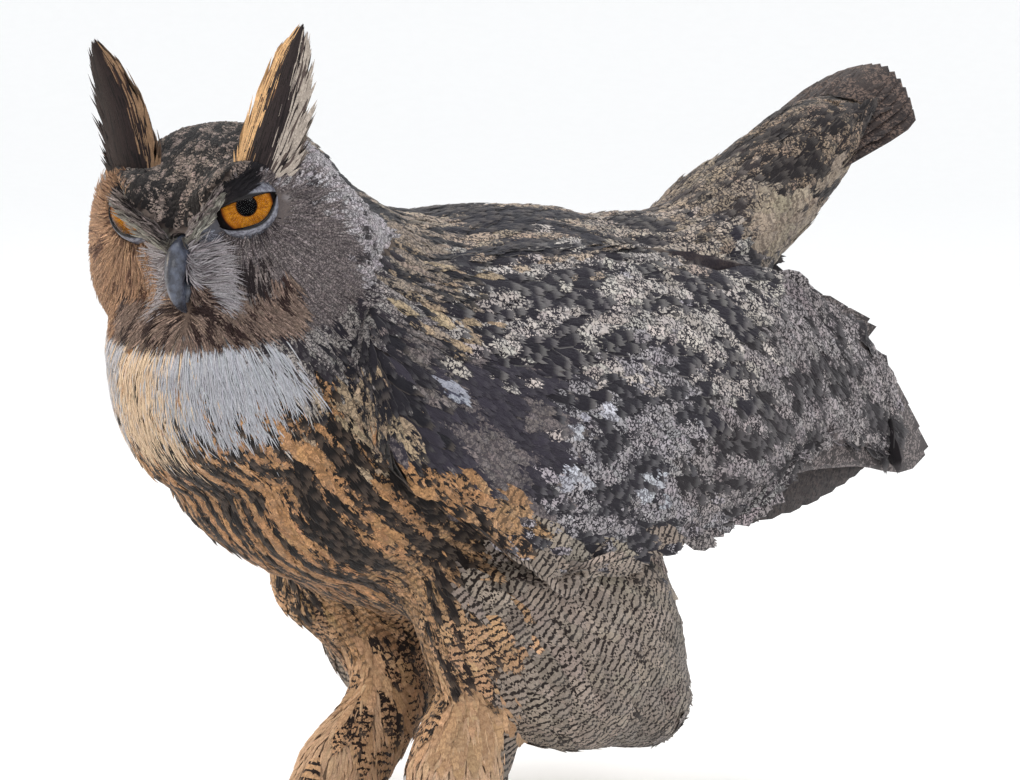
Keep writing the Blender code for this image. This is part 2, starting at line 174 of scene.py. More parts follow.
def drawn_out(name, rings):
    """A closed form extruded from ring to ring, in metres."""
    nothing_selected()
    bpy.ops.mesh.primitive_circle_add(vertices=len(rings[0]), radius=0.01, fill_type="NGON")
    obj = bpy.context.object
    obj.name = name
    obj.data.name = name
    bpy.ops.object.mode_set(mode="EDIT")
    form = bmesh.from_edit_mesh(obj.data)
    for i, ring in enumerate(rings):
        if i:
            bpy.ops.mesh.extrude_region_move()
            form = bmesh.from_edit_mesh(obj.data)
        face = next(f for f in form.faces if f.select)
        for vert, place in zip(face.verts, ring):
            vert.co = Vector(place) - obj.location
        bmesh.update_edit_mesh(obj.data)
    bpy.ops.mesh.select_all(action="SELECT")
    bpy.ops.mesh.normals_make_consistent(inside=False)
    bpy.ops.object.mode_set(mode="OBJECT")
    at_origin(obj)
    return obj


def smooth_rows(rows, steps):
    """Catmull-Rom values through the rows, steps between each pair."""
    rows = np.asarray(rows, dtype=float)
    ends = np.vstack((2 * rows[0] - rows[1], rows, 2 * rows[-1] - rows[-2]))
    found = []
    for a, b, c, d in zip(ends, ends[1:], ends[2:], ends[3:]):
        for step in range(steps):
            t = step / steps
            found.append(0.5 * (2 * b + (c - a) * t + (2 * a - 5 * b + 4 * c - d) * t * t
                                + (3 * b - a - 3 * c + d) * t ** 3))
    return np.array(found + [rows[-1]])


def rest_on_body(obj, slot, *replaced):
    """Fixes a finished piece to the body, in place of the named nodes."""
    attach(obj, "root")
    if replaced:
        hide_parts(*replaced)


# --- materials ---

class Recipe:
    """Builds a node tree from short calls."""

    def __init__(self, name):
        self.material = bpy.data.materials.new(name)
        self.material.use_nodes = True
        self.tree = self.material.node_tree
        self.shader = self.tree.nodes["Principled BSDF"]

    def node(self, kind, **settings):
        made = self.tree.nodes.new("ShaderNode" + kind)
        for key, value in settings.items():
            setattr(made, key, value)
        return made

    def feed(self, socket, value):
        if isinstance(value, bpy.types.NodeSocket):
            self.tree.links.new(value, socket)
        else:
            socket.default_value = value

    def held(self, name, out="Fac"):
        """A value that the mesh carries at its points."""
        return self.node("Attribute", attribute_name=name).outputs[out]

    def math(self, operation, first, second=0.0):
        made = self.node("Math", operation=operation)
        self.feed(made.inputs[0], first)
        self.feed(made.inputs[1], second)
        return made.outputs[0]

    def add(self, first, second):
        return self.math("ADD", first, second)

    def less(self, first, second):
        return self.math("SUBTRACT", first, second)

    def times(self, first, second):
        return self.math("MULTIPLY", first, second)

    def step(self, value, low, high, to_low=0.0, to_high=1.0):
        """A smooth change from to_low to to_high as value goes from low to high."""
        made = self.node("MapRange", interpolation_type="SMOOTHSTEP")
        for socket, given in zip(made.inputs, (value, low, high, to_low, to_high)):
            self.feed(socket, given)
        return made.outputs[0]

    def mix(self, share, first, second, blend="MIX"):
        made = self.node("Mix", data_type="RGBA", blend_type=blend)
        self.feed(made.inputs[0], share)
        self.feed(made.inputs[6], first)
        self.feed(made.inputs[7], second)
        return made.outputs[2]

    def noise(self, place, scale, detail=2.0, rough=0.5):
        made = self.node("TexNoise")
        self.feed(made.inputs["Vector"], place)
        made.inputs["Scale"].default_value = scale
        made.inputs["Detail"].default_value = detail
        made.inputs["Roughness"].default_value = rough
        return made.outputs[0]

    def place(self):
        return self.node("TexCoord").outputs["Object"]

    def bump(self, height, distance, strength=1.0):
        made = self.node("Bump")
        made.inputs["Strength"].default_value = strength
        made.inputs["Distance"].default_value = distance
        self.feed(made.inputs["Height"], height)
        self.feed(self.shader.inputs["Normal"], made.outputs[0])

    def colour(self, value):
        self.feed(self.shader.inputs["Base Color"], value)

    def gloss(self, roughness, specular=0.5, **others):
        self.feed(self.shader.inputs["Roughness"], roughness)
        self.shader.inputs["Specular IOR Level"].default_value = specular
        for key, value in others.items():
            self.shader.inputs[key.replace("_", " ")].default_value = value


def dress(obj, name, make):
    """Gives the object the named material, which is made when it is first needed."""
    found = bpy.data.materials.get("owl_" + name) or make("owl_" + name)
    obj.data.materials.append(found)


def plumage_material(name):
    """Feathers whose ground, marks and figure come with each vane."""
    r = Recipe(name)
    vane = r.node("SeparateXYZ")
    r.feed(vane.inputs[0], r.node("UVMap", uv_map="Vane").outputs[0])
    across, along = vane.outputs[0], vane.outputs[1]
    ground, mark, figure = (r.node("Attribute", attribute_name=n)
                            for n in ("ground", "mark", "figure"))
    parts = r.node("SeparateColor")
    r.feed(parts.inputs[0], figure.outputs["Color"])
    barred, mottled, cycles = parts.outputs[0], parts.outputs[1], parts.outputs[2]
    scaled = r.node("VectorMath", operation="SCALE")
    r.feed(scaled.inputs[0], r.place())
    r.feed(scaled.inputs["Scale"], ground.outputs["Alpha"])
    place = scaled.outputs[0]
    wander = r.less(r.noise(place, 380, 2), 0.5)
    fine = r.less(r.noise(place, 1200, 2, 0.6), 0.5)
    worm = r.math("ABSOLUTE", r.less(r.noise(place, 340, 2, 0.6), 0.5))
    edge = r.times(r.math("ABSOLUTE", r.less(across, 0.5)), 2.0)
    patch = r.add(mark.outputs["Alpha"], r.times(wander, 1.5))
    patch = r.add(patch, r.times(fine, 0.7))
    patch = r.step(patch, 0.42, 0.58)
    phase = r.add(cycles, r.times(wander, 0.9))
    phase = r.less(phase, r.times(r.times(edge, edge), 0.25))
    wave = r.math("SINE", r.times(phase, math.tau))
    wave = r.add(wave, r.times(fine, 1.0))
    barring = r.times(r.step(wave, 0.15, 0.6), barred)
    lines = r.add(worm, r.times(fine, 0.05))
    lines = r.times(r.step(lines, 0.042, 0.075, 1.0, 0.0), mottled)
    dark = r.math("MAXIMUM", r.math("MAXIMUM", patch, barring), lines)
    shade = r.add(1.0, r.times(fine, 0.8))
    base = r.mix(1.0, ground.outputs["Color"], shade, "MULTIPLY")
    pale = r.times(r.step(r.math("MAXIMUM", edge, along), 0.80, 0.98),
                  figure.outputs["Alpha"])
    painted = r.mix(dark, base, mark.outputs["Color"])
    painted = r.mix(pale, painted, r.mix(0.2, ground.outputs["Color"], (1, 1, 1, 1)))
    r.colour(painted)
    barbs = r.math("SINE", r.times(r.add(along, r.times(edge, 0.6)), 170.0))
    r.bump(r.add(fine, r.times(barbs, 0.3)), 0.0003, 0.35)
    r.gloss(0.75, 0.2, Sheen_Weight=0.1, Sheen_Roughness=0.5)
    return r.material


def skin_material(name):
    """Thin grey skin with down, seen only where the feathers part."""
    r = Recipe(name)
    place = r.place()
    cloud = r.noise(place, 90, 3)
    grain = r.noise(place, 900, 3)
    base = r.mix(r.step(cloud, 0.35, 0.65), paint(58, 48, 44), paint(96, 82, 72))
    base = r.mix(r.step(grain, 0.42, 0.62), base, paint(44, 36, 34))
    base = r.mix(0.75, base, r.held("undercoat", "Color"))
    r.colour(base)
    r.bump(grain, 0.0006, 0.6)
    r.gloss(0.85, 0.2)
    return r.material


def lid_material(name):
    """Bare lid skin: a dark wet rim that pales outwards."""
    r = Recipe(name)
    rim = r.held("rim")
    place = r.place()
    pore = r.noise(place, 1500, 3, 0.6)
    fold = r.noise(place, 500, 2)
    outer = r.mix(r.step(fold, 0.4, 0.62), paint(98, 98, 108), chosen("lid"))
    outer = r.mix(r.step(pore, 0.5, 0.64, 0, 0.45), outer, paint(66, 64, 74))
    soot = r.held("soot")
    outer = r.mix(r.step(soot, 0.2, 0.9), outer, paint(30, 26, 30))
    r.colour(r.mix(r.step(rim, 0.08, 0.2), paint(14, 11, 13), outer))
    r.bump(r.add(pore, fold), 0.0003, 0.5)
    r.gloss(r.step(rim, 0.05, 0.2, 0.22, 0.75), 0.25)
    return r.material


def iris_material(name):
    """An amber iris with fine rays, dark at its rim, round a black pupil."""
    r = Recipe(name)
    radial = r.held("radial")
    ray = r.held("ray", "Vector")
    fibres = r.noise(ray, 9.0, 4, 0.7)
    blotch = r.noise(ray, 2.2, 2)
    amber = r.mix(r.step(fibres, 0.34, 0.68), paint(126, 70, 12), chosen("iris"))
    amber = r.mix(r.step(blotch, 0.4, 0.75, 0, 0.5), amber, paint(160, 92, 18))
    amber = r.mix(r.step(radial, 0.62, 0.74), amber, paint(98, 46, 10))
    amber = r.mix(r.step(radial, 0.70, 0.755), amber, paint(12, 8, 8))
    amber = r.mix(r.step(radial, 0.28, 0.34, 1, 0), amber, paint(96, 40, 6))
    r.colour(r.mix(r.step(radial, 0.285, 0.305), (0.002, 0.002, 0.003, 1), amber))
    r.bump(r.times(fibres, r.step(radial, 0.30, 0.36)), 0.0003, 0.4)
    r.gloss(0.7, 0.08)
    return r.material


def cornea_material(name):
    """Clear domed glass that only shows its shine."""
    r = Recipe(name)
    clear = r.node("BsdfTransparent")
    shine = r.node("BsdfGlossy")
    shine.inputs["Roughness"].default_value = 0.12
    facing = r.node("LayerWeight")
    facing.inputs["Blend"].default_value = 0.35
    edge = r.math("POWER", facing.outputs["Facing"], 3.0)
    both = r.node("MixShader")
    r.feed(both.inputs[0], r.add(0.004, r.times(edge, 0.4)))
    r.feed(both.inputs[1], clear.outputs[0])
    r.feed(both.inputs[2], shine.outputs[0])
    out = next(n for n in r.tree.nodes if n.type == "OUTPUT_MATERIAL")
    r.tree.links.new(both.outputs[0], out.inputs["Surface"])
    return r.material


def bill_material(name):
    """Slate horn, mottled and darker towards the tip, with growth lines and pale scuffs."""
    r = Recipe(name)
    along = r.held("along")
    place = r.place()
    cloud = r.noise(place, 160, 3)
    grain = r.noise(place, 1500, 4, 0.7)
    horn = r.mix(r.step(cloud, 0.35, 0.7), paint(34, 36, 46), chosen("bill"))
    horn = r.mix(r.step(along, 0.55, 1.0, 0, 0.7), horn, paint(30, 29, 33))
    horn = r.mix(r.step(grain, 0.52, 0.66, 0, 0.2), horn, paint(130, 132, 142))
    r.colour(horn)
    lines = r.math("SINE", r.times(along, 120.0))
    r.bump(r.add(grain, r.times(lines, 0.3)), 0.00025, 0.5)
    r.gloss(r.step(grain, 0.3, 0.7, 0.3, 0.5), 0.5, Coat_Weight=0.15)
    return r.material


def claw_material(name):
    """Black-brown horn, paler at the root, with a fine grain."""
    r = Recipe(name)
    along = r.held("along")
    grain = r.noise(r.place(), 1400, 4, 0.7)
    horn = r.mix(r.step(along, 0.0, 0.5), paint(96, 84, 74), chosen("claw"))
    horn = r.mix(r.step(grain, 0.5, 0.68, 0, 0.4), horn, paint(120, 108, 98))
    r.colour(horn)
    r.bump(grain, 0.0003, 0.4)
    r.gloss(r.step(grain, 0.3, 0.7, 0.26, 0.45), 0.5)
    return r.material


def floor_material(name):
    """A plain floor with a faint grain."""
    r = Recipe(name)
    grain = r.noise(r.place(), 40, 2)
    r.colour(r.mix(r.step(grain, 0.3, 0.7), (0.94, 0.94, 0.94, 1), chosen("floor")))
    r.gloss(0.9, 0.1)
    return r.material


# --- kinds of feather ---

Kind = namedtuple("Kind", "form length width spacing rise ground mark dark_share dark_along "
                          "dark_across pitch barred mottled fringe piece")

# form; length, width, spacing and rise in millimetres; ground and mark colours; share of dark
# patches and their reach along and across the lie; pitch of the bars; strength of the bars, of
# the worm-like mottling and of the pale fringe; the coat piece that it belongs to.
KINDS = {name: Kind(*row) for name, row in {
    "crown": ("vane", 7, 4, 2.1, .9, (168, 150, 140), (16, 11, 12),
        .48, 2.2, 0, 3, 1, .6, .05, "crown"),
    "brow": ("hair", 9, .9, 1, 1.6, (170, 166, 155), (78, 73, 70), 0, 1, 0, 3, .3, .4, 0, "face"),
    "soot": ("hair", 9, 1.1, 1, 1.4, (32, 28, 33), (13, 10, 15), 0, 1, 0, 3, 0, .5, 0, "face"),
    "disc": ("hair", 11, .9, 1, .9, (152, 141, 140), (42, 36, 40),
        .06, 1, 0, 2.2, .4, .8, 0, "face"),
    # the facial disc's hairs with warm light painted into their ground, for the far side where the
    # key lamp falls
    "disc_warm": ("hair", 13, .9, 1, 2.6, (206, 164, 130), (80, 54, 42),
        .3, 9, 0, 3, .4, .4, 0, "face"),
    "lore": ("hair", 6, .8, 1, .6, (134, 136, 148), (62, 58, 64), 0, 1, 0, 2, .3, .5, 0, "face"),
    "bristle": ("hair", 17, .6, .95, 2.4, (182, 176, 179), (104, 97, 100),
        0, 1, 0, 3, 0, .3, 0, "face"),
    "dark_hair": ("hair", 11, .9, 1.05, 1.6, (150, 138, 134), (32, 24, 26),
        .42, 4, 0, 3, 0, .4, 0, "face"),
    "chin": ("hair", 12, .9, 1.1, 2.2, (164, 140, 126), (44, 29, 27),
        .35, 3, 0, 3, .4, .5, 0, "face"),
    "rim": ("vane", 9, 3.6, 2.3, 1.1, (200, 193, 196), (42, 37, 40),
        .22, 3, 0, 3, .4, .8, .05, "crown"),
    "throat": ("hair", 21, .7, 1, 3, (222, 223, 230), (196, 196, 204),
        0, 1, 0, 4, 0, .15, 0, "throat"),
    # the white bib hairs with warm light painted into their ground
    "throat_warm": ("hair", 21, .7, 1, 3, (246, 218, 186), (222, 196, 166),
        0, 1, 0, 4, 0, .15, 0, "throat"),
    "throat_edge": ("hair", 19, .9, 1.2, 2.8, (196, 186, 178), (58, 48, 48),
        .4, 10, 0, 4, 0, .4, 0, "throat"),
    "nape": ("vane", 20, 8, 4, 2, (178, 160, 143), (20, 18, 25),
        .54, 18, 1.6, 3, .2, .7, .1, "neck"),
    "neck_side": ("vane", 14, 5.5, 3, 1.8, (180, 172, 168), (36, 31, 37),
        .36, 6, 0, 3, .3, .9, .1, "neck"),
    "neck_low": ("vane", 22, 9, 4.4, 2.2, (202, 176, 146), (20, 18, 25),
        .54, 18, 1.6, 3, .2, .6, .1, "neck"),
    "mantle": ("vane", 27, 12, 5.6, 2.4, (204, 182, 160), (24, 22, 32),
        .58, 17, 3.4, 4, .2, .9, .1, "mantle"),
    "mantle_rear": ("vane", 25, 12, 5.4, 2.2, (204, 188, 172), (28, 24, 31),
        .5, 12, 3.4, 4, .3, 1, .15, "mantle"),
    "scapular": ("vane", 27, 14, 6.2, 2.4, (212, 202, 194), (26, 22, 31),
        .5, 12, 3.6, 3, .2, 1, .2, "wing"),
    "shoulder": ("vane", 20, 7, 3.8, 1.8, (134, 124, 120), (28, 25, 32),
        .62, 12, 2, 3, .2, .7, .1, "wing"),
    "shoulder_white": ("vane", 22, 8, 3.4, 2.8, (186, 188, 200), (60, 60, 74),
        .4, 9, 0, 4, 0, .3, .1, "wing"),
    "covert_dark": ("vane", 22, 8, 4.2, 1.8, (132, 122, 120), (43, 39, 48),
        .64, 12, 3, 3, .2, .7, .05, "wing"),
    "covert": ("vane", 22, 11, 5.2, 2, (188, 181, 184), (30, 27, 34),
        .42, 8, 3, 3, .3, 1, .15, "wing"),
    "covert_pale": ("vane", 20, 11, 4.6, 2.4, (214, 216, 224), (60, 56, 64),
        .2, 4, 0, 3, .1, .8, .2, "wing"),
    "greater": ("vane", 30, 14, 6.2, 2, (178, 168, 168), (30, 25, 29),
        .38, 8, 4, 6, .4, 1, .15, "wing"),
    "rump": ("vane", 26, 12, 5.6, 2.2, (176, 158, 138), (40, 33, 34),
        .35, 8, 3, 5, .4, 1, .15, "rump"),
    "tail_covert": ("vane", 30, 14, 6.2, 2, (160, 139, 119), (24, 18, 20),
        .56, 9, 4, 6, .6, 1, .1, "rump"),
    "primary": ("vane", 18, 10, 6, 1.6, (98, 87, 86), (32, 28, 32),
        .42, 9, 4, 8, .5, .4, .1, "wing"),
    "undertail": ("vane", 32, 14, 6, 2.6, (194, 176, 154), (62, 50, 45),
        .06, 6, 3, 6, .7, .3, .1, "rump"),
    "vent": ("vane", 32, 13, 6, 3.4, (206, 190, 170), (90, 74, 64),
        0, 1, 0, 5, .5, .1, .1, "belly"),
    "breast": ("vane", 26, 9, 4.6, 2.6, (212, 160, 112), (17, 12, 12),
        .58, 28, 0, 6, .3, .45, .1, "breast"),
    "breast_low": ("vane", 26, 10, 5, 2.6, (208, 164, 120), (22, 15, 14),
        .46, 24, 0, 4.6, .7, .35, .1, "breast"),
    "belly": ("vane", 30, 12, 5.6, 2.6, (220, 176, 134), (30, 20, 18),
        .26, 18, 0, 4.4, 1, .25, .1, "belly"),
    "flank": ("vane", 38, 16, 7, 2.8, (184, 168, 154), (34, 26, 24),
        .12, 14, 0, 4.2, 1, .15, .1, "belly"),
    "flank_pale": ("vane", 40, 17, 7.4, 3.2, (178, 164, 151), (36, 28, 26),
        .1, 14, 0, 4, 1, .1, .1, "belly"),
    "thigh": ("vane", 22, 8, 4.2, 2, (204, 166, 128), (128, 95, 70),
        .03, 8, 0, 4, .45, .1, .1, "leg"),
    "leg": ("hair", 12, 2, 2.1, 1.6, (206, 172, 140), (156, 122, 96),
        .0, 3, 0, 3, .2, .15, 0, "leg"),
    "toe": ("hair", 8, 1.6, 1.9, 1.1, (206, 176, 148), (156, 126, 100),
        0, 1, 0, 3, 0, .2, 0, "leg"),
}.items()}
KIND_NAMES = list(KINDS)
KIND_AT = {name: i for i, name in enumerate(KIND_NAMES)}

# --- the lie of the coat ---
# Each kind, then its guides: place in millimetres on the left side, the way that the feathers
# point, and reach.
LIE = (
    ("nape", (24, -128, 340, .1, .9, -.35, 20), (30, -160, 352, .1, .8, -.5, 18),
     (45, -147, 335, .15, .85, -.4, 18)),
    ("neck_side", (76, -193, 324, .15, .7, -.6, 16)),
    ("nape", (60, -170, 335, .15, .75, -.55, 16)),
    ("neck_side", (71, -222, 274, .15, .45, -.85, 18), (73, -191, 298, .2, .6, -.7, 18)),
    ("nape", (70, -165, 312, .2, .75, -.5, 18)),
    ("neck_low", (80, -160, 300, .2, .75, -.5, 18), (78, -205, 252, .15, .5, -.8, 18)),
    ("mantle", (42, -110, 328, .1, 1, -.12, 24), (10, -100, 330, 0, 1, -.1, 24),
     (47, -65, 326, .05, 1, -.05, 28), (8, -40, 320, 0, 1, -.05, 28)),
    ("mantle_rear", (36, 3, 317, -.02, 1, .02, 28), (33, 51, 315, -.05, 1, .15, 26),
     (5, 40, 305, 0, 1, .2, 28)),
    ("rump", (19, 96, 334, 0, .85, .5, 22), (10, 70, 318, 0, .93, .35, 22)),
    ("tail_covert", (22, 140, 355, 0, .85, .52, 24), (10, 185, 376, 0, .85, .52, 24),
     (33, 165, 345, 0, .85, .52, 20), (30, 195, 362, 0, .85, .52, 20)),
    ("undertail", (34, 178, 336, 0, .85, .52, 9), (36, 150, 316, 0, .85, .52, 11),
     (40, 115, 314, 0, .85, .5, 12), (0, 150, 300, 0, .85, .5, 16)),
    ("vent", (0, 60, 180, 0, .95, .3, 26), (20, 70, 240, 0, .95, .2, 14)),
    ("scapular", (89, -131, 296, .12, .95, -.22, 24), (98, -83, 283, .02, .97, -.2, 26),
     (91, -19, 289, -.05, .97, -.15, 26), (80, -60, 308, 0, 1, -.1, 24),
     (77, 55, 295, -.08, .86, -.5, 24)),
    ("shoulder", (80, -204, 284, .3, .75, -.5, 16), (96, -191, 269, .25, .75, -.6, 16)),
    ("shoulder_white", (102, -176, 263, .15, .8, -.5, 5)),
    ("covert_dark", (101, -176, 250, .15, .75, -.6, 16), (109, -162, 248, .1, .8, -.55, 18),
     (117, -128, 225, .05, .85, -.5, 22), (116, -120, 262, .05, .9, -.35, 18)),
    ("covert", (120, -103, 192, 0, .9, -.4, 22), (120, -85, 250, 0, .93, -.35, 22),
     (117, -58, 230, 0, .93, -.35, 24), (118, -44, 187, 0, .93, -.3, 24),
     (112, -30, 262, 0, .95, -.25, 24)),
    ("covert_pale", (112, -72, 238, 0, .93, -.35, 8), (117, -100, 232, 0, .93, -.35, 6),
     (118, -45, 200, 0, .93, -.35, 8), (119, -110, 206, 0, .93, -.35, 6)),
    ("scapular", (100, 17, 261, -.06, .84, -.52, 24)),
    ("greater", (112, 5, 200, -.06, .9, -.36, 24), (108, 40, 235, -.08, .84, -.5, 24),
     (88, 74, 262, -.1, .76, -.62, 24), (92, 90, 200, -.12, .86, -.42, 24),
     (70, 130, 262, -.15, .7, -.68, 24), (70, 160, 235, -.15, .74, -.62, 24),
     (60, 180, 200, -.15, .86, -.44, 24)),
    ("covert", (110, -90, 160, 0, .97, -.2, 12), (112, -60, 160, 0, 1, -.05, 13),
     (110, -25, 166, -.02, 1, -.02, 15)),
    ("flank", (80, -100, 100, 0, .75, -.65, 13), (78, -84, 78, 0, .7, -.7, 12)),
    ("covert", (106, 15, 168, -.05, 1, -.02, 15)),
    ("greater", (100, 50, 178, -.1, .99, -.03, 15)),
    ("primary", (92, 92, 180, -.12, .97, -.1, 11), (80, 135, 199, -.12, .95, -.2, 11),
     (72, 165, 202, -.12, .9, -.3, 9)),
    # The bib: white, with warm light painted into its middle and its far side.
    ("throat", (34, -280, 268, .05, .1, -1, 18)),
    ("throat_warm", (0, -285, 262, -.05, .1, -1, 20)),
    ("throat", (42, -272, 248, .1, .25, -.95, 16), (62, -246, 268, .15, .35, -.9, 12),
     (51, -260, 252, .12, .25, -.95, 13)),
    ("throat_warm", (10, -274, 232, 0, .2, -.95, 11), (-45, -262, 250, -.1, .25, -.95, 18)),
    ("throat_edge", (72, -236, 258, .15, .4, -.85, 9), (62, -250, 228, .15, .4, -.85, 9)),
    ("breast", (-37, -229, 199, -.05, .72, -.68, 26), (34, -243, 212, .05, .72, -.68, 27),
     (0, -235, 195, 0, .72, -.68, 26), (47, -217, 185, .08, .74, -.66, 24),
     (69, -215, 228, .12, .74, -.66, 20), (78, -196, 196, .1, .76, -.64, 22),
     (10, -190, 160, 0, .76, -.64, 26)),
    ("breast_low", (90, -165, 175, .08, .78, -.6, 22), (63, -163, 161, .05, .76, -.62, 22),
     (-3, -142, 130, 0, .7, -.65, 24)),
    ("belly", (0, -100, 112, 0, .8, -.5, 28)),
    ("breast_low", (38, -128, 125, .05, .55, -.8, 18)),
    ("belly", (60, -120, 135, .08, .65, -.7, 20)),
    ("flank", (86, -114, 159, .08, .75, -.6, 22), (96, -81, 135, .05, .78, -.6, 24),
     (105, -46, 133, 0, .8, -.58, 26)),
    ("flank_pale", (105, -24, 98, 0, .75, -.65, 24)),
    ("flank", (97, -67, 81, 0, .65, -.75, 22)),
    ("flank_pale", (75, 10, 60, 0, .7, -.7, 24), (90, 15, 110, 0, .8, -.55, 26)),
    ("vent", (40, 30, 90, 0, .8, -.5, 30), (0, 0, 110, 0, .9, -.3, 34)),
    ("thigh", (55, -108, 95, 0, .3, -.95, 18), (38, -128, 108, 0, .25, -.95, 16),
     (20, -100, 95, 0, .3, -.95, 16), (38, -60, 85, 0, .1, -1, 14)),
    ("leg", (60, -90, 70, 0, .1, -1, 14), (38, -80, 62, 0, -.15, -1, 20),
     (38, -95, 40, 0, -.15, -1, 18), (38, -105, 22, 0, -.3, -.95, 14)),
    ("toe", (38, -135, 12, 0, -1, -.2, 20), (55, -75, 12, .6, .8, -.2, 16),
     (30, -80, 12, -.2, 1, -.2, 14)),
)
FOOT_AHEAD = 26                # how far the right leg stands ahead of the left


def lie_table():
    """The guides of both sides as arrays: place, way, kind and reach."""
    place, way, kind, reach = [], [], [], []
    for name, *guides in LIE:
        for (x, y, z, out, back, up, far), side in product(guides, (1, -1)):
            if side < 0 and (abs(x) < 6 or name.startswith("throat") and x < 0):
                continue
            ahead = -FOOT_AHEAD if side < 0 and z < 75 else 0
            place.append((side * x, y + ahead, z))
            way.append((side * out, back, up))
            kind.append(KIND_AT[name])
            reach.append(far)
    return (np.array(place), unit(way), np.array(kind), np.array(reach, dtype=float))


def kind_column(field, scale=1.0):
    """One measure of every kind, in the order of KIND_NAMES."""
    return np.array([getattr(kind, field) for kind in KINDS.values()], dtype=float) * scale


def kind_tones(field):
    """One colour of every kind."""
    return np.array([tone(*getattr(kind, field)) for kind in KINDS.values()])


GUIDE_BATCH = 20000            # points that are compared with the guides at a time


def guide_pulls(points):
    """Batches of points, in metres, with the pull of every guide on each of them."""
    place, _, _, reach = lie_table()
    for start in range(0, len(points), GUIDE_BATCH):
        rows = slice(start, start + GUIDE_BATCH)
        gap = np.linalg.norm((points[rows] / MM)[:, None] - place[None], axis=2)
        yield rows, np.exp(-0.5 * (gap / reach) ** 2) + 1e-7 / (1 + (gap / 20) ** 4)


def blend_lie(points, rng=None):
    """Kind and way at each point, in metres; rng picks among the nearest kinds."""
    _, way, kind, _ = lie_table()
    kinds = np.empty(len(points), dtype=int)
    ways = np.empty((len(points), 3))
    for rows, pull in guide_pulls(points):
        ways[rows] = unit(pull @ way)
        sharp = pull ** 2
        if rng is None:
            kinds[rows] = kind[np.argmax(sharp, axis=1)]
        else:
            total = np.cumsum(sharp, axis=1)
            pick = rng.random(len(sharp))[:, None] * total[:, -1:]
            kinds[rows] = kind[(total < pick).sum(axis=1)]
    return kinds, ways


# --- the head ---

EYE_RADIUS, CORNEA_RADIUS, CORNEA_AHEAD = 18.0, 14.5, 5.0
EYE_FRONT = (38.0, 52.0, 19.5)
EYE_SPLAY = 26
EYE_TURN = {"left": (0.15, 0.25), "right": (-0.38, 0.22)}     # outward and upward turn of the gaze
SIDES = {"left": 1, "right": -1}


def eye_axes(side_name):
    """Centre in the head's millimetres, and its outward, upward and ahead directions there."""
    side = SIDES[side_name]
    splay = math.radians(EYE_SPLAY) * side
    ahead = np.array((math.sin(splay), math.cos(splay), 0.0))
    outward_way = np.array((math.cos(splay), -math.sin(splay), 0.0)) * side
    front = np.array((EYE_FRONT[0] * side, EYE_FRONT[1], EYE_FRONT[2]))
    centre = front - ahead * (CORNEA_AHEAD + CORNEA_RADIUS)
    return centre, outward_way, np.array((0.0, 0.0, 1.0)), ahead


def gaze_axes(side_name):
    """The same for the turned eyeball."""
    centre, out, up, ahead = eye_axes(side_name)
    turn = EYE_TURN[side_name]
    gaze = unit(ahead + out * turn[0] + up * turn[1])
    out = unit(out - gaze * (out @ gaze))
    lift = np.cross(out, gaze)
    if lift @ up < 0:
        lift = -lift
    return centre, out, lift, gaze


def v_edge(side):
    """Height of the pale line between crown and face."""
    near = np.interp(side, (0, 6, 14, 24, 34, 44, 60), (3, 8, 17, 26, 35, 44, 47))
    far = np.interp(-side, (0, 6, 18, 30, 44, 60), (3, 11, 24, 33, 44, 47))
    return np.where(side < 0, far, near)


def segment_gap(a, b, start, end):
    """Distance from the line between two spots."""
    start, end = np.array(start, dtype=float), np.array(end, dtype=float)
    way = end - start
    share = np.clip(((a - start[0]) * way[0] + (b - start[1]) * way[1]) / (way @ way), 0, 1)
    return np.hypot(a - start[0] - way[0] * share, b - start[1] - way[1] * share)


def on_head(local):
    """Whether each point lies on the head, ahead of the neck and above the throat."""
    s, h, v = local.T
    size = (s / 78) ** 2 + ((h - 4) / 78) ** 2 + (v / 64) ** 2
    return (size < 1.15) & (h > -34 - 0.35 * v) & ~((v < -44) & (h < 60)) & (v > -50)


def bare_eye(local, side_name):
    """Whether each point lies within the opening or the bare lids."""
    centre, out, up, gaze = gaze_axes(side_name)
    rel = local - centre
    x, y = rel @ out, rel @ up
    return ((x / 19.0) ** 2 + ((y + 3.6) / 9.8) ** 2 < 1) & (rel @ gaze > 0)


DISC_CENTRE = (38.0, 50.0, 19.5)      # where the hairs of the facial disc spread from


def head_kinds(local, rng):
    """Kind of each root on the head, and whether it stands on the crown."""
    s, h, v = local.T
    wide = np.abs(s)
    edge = v_edge(s)
    kinds = np.full(len(local), KIND_AT["disc"])

    def put(name, mask):
        kinds[mask] = KIND_AT[name]

    jitter = rng.normal(0, 1.6, len(local))
    # Towards the far side of the face more and more hairs take the kind with warm light painted
    # into its ground.
    warm = (s < -4) & (rng.random(len(local)) < np.clip((-s - 4) / 18, 0, 1))
    put("disc_warm", warm)
    rim = np.hypot((wide - 34) / 42, (v + 12 + jitter) / 50)
    put("rim", (rim + .05 * jitter > 1.02) | (h + 2.2 * jitter < 13))
    put("chin", (v + jitter < -20 + 0.12 * wide) & (h > 30) & (wide < 48))
    dark = (wide > 14) & (wide < 40) & (v + jitter < -2) & (v + jitter > -22) & (s > 0)
    put("dark_hair", dark & (rng.random(len(local)) < 0.75))
    bristle = segment_gap(wide, v, (7, 6), (13, -16))
    put("bristle", (bristle + 0.5 * jitter < 6) & (h > 40))
    lore = segment_gap(wide, v, (11, 12), (20, 14))
    put("lore", (lore < 5) & (h > 44))
    crown = (v > edge + 1.5) | ((h < 12) & (v > 34))
    put("crown", crown)
    put("brow", (np.abs(v - edge) < 2.2) & (h > 18) & (wide < 40))
    soot = segment_gap(wide, v, (35, 35), (48, 46))
    put("soot", (soot + 0.4 * jitter < 4.6) & (v < edge + 3) & (h > 10))
    put("nape", h < -22 + jitter)
    return kinds, crown


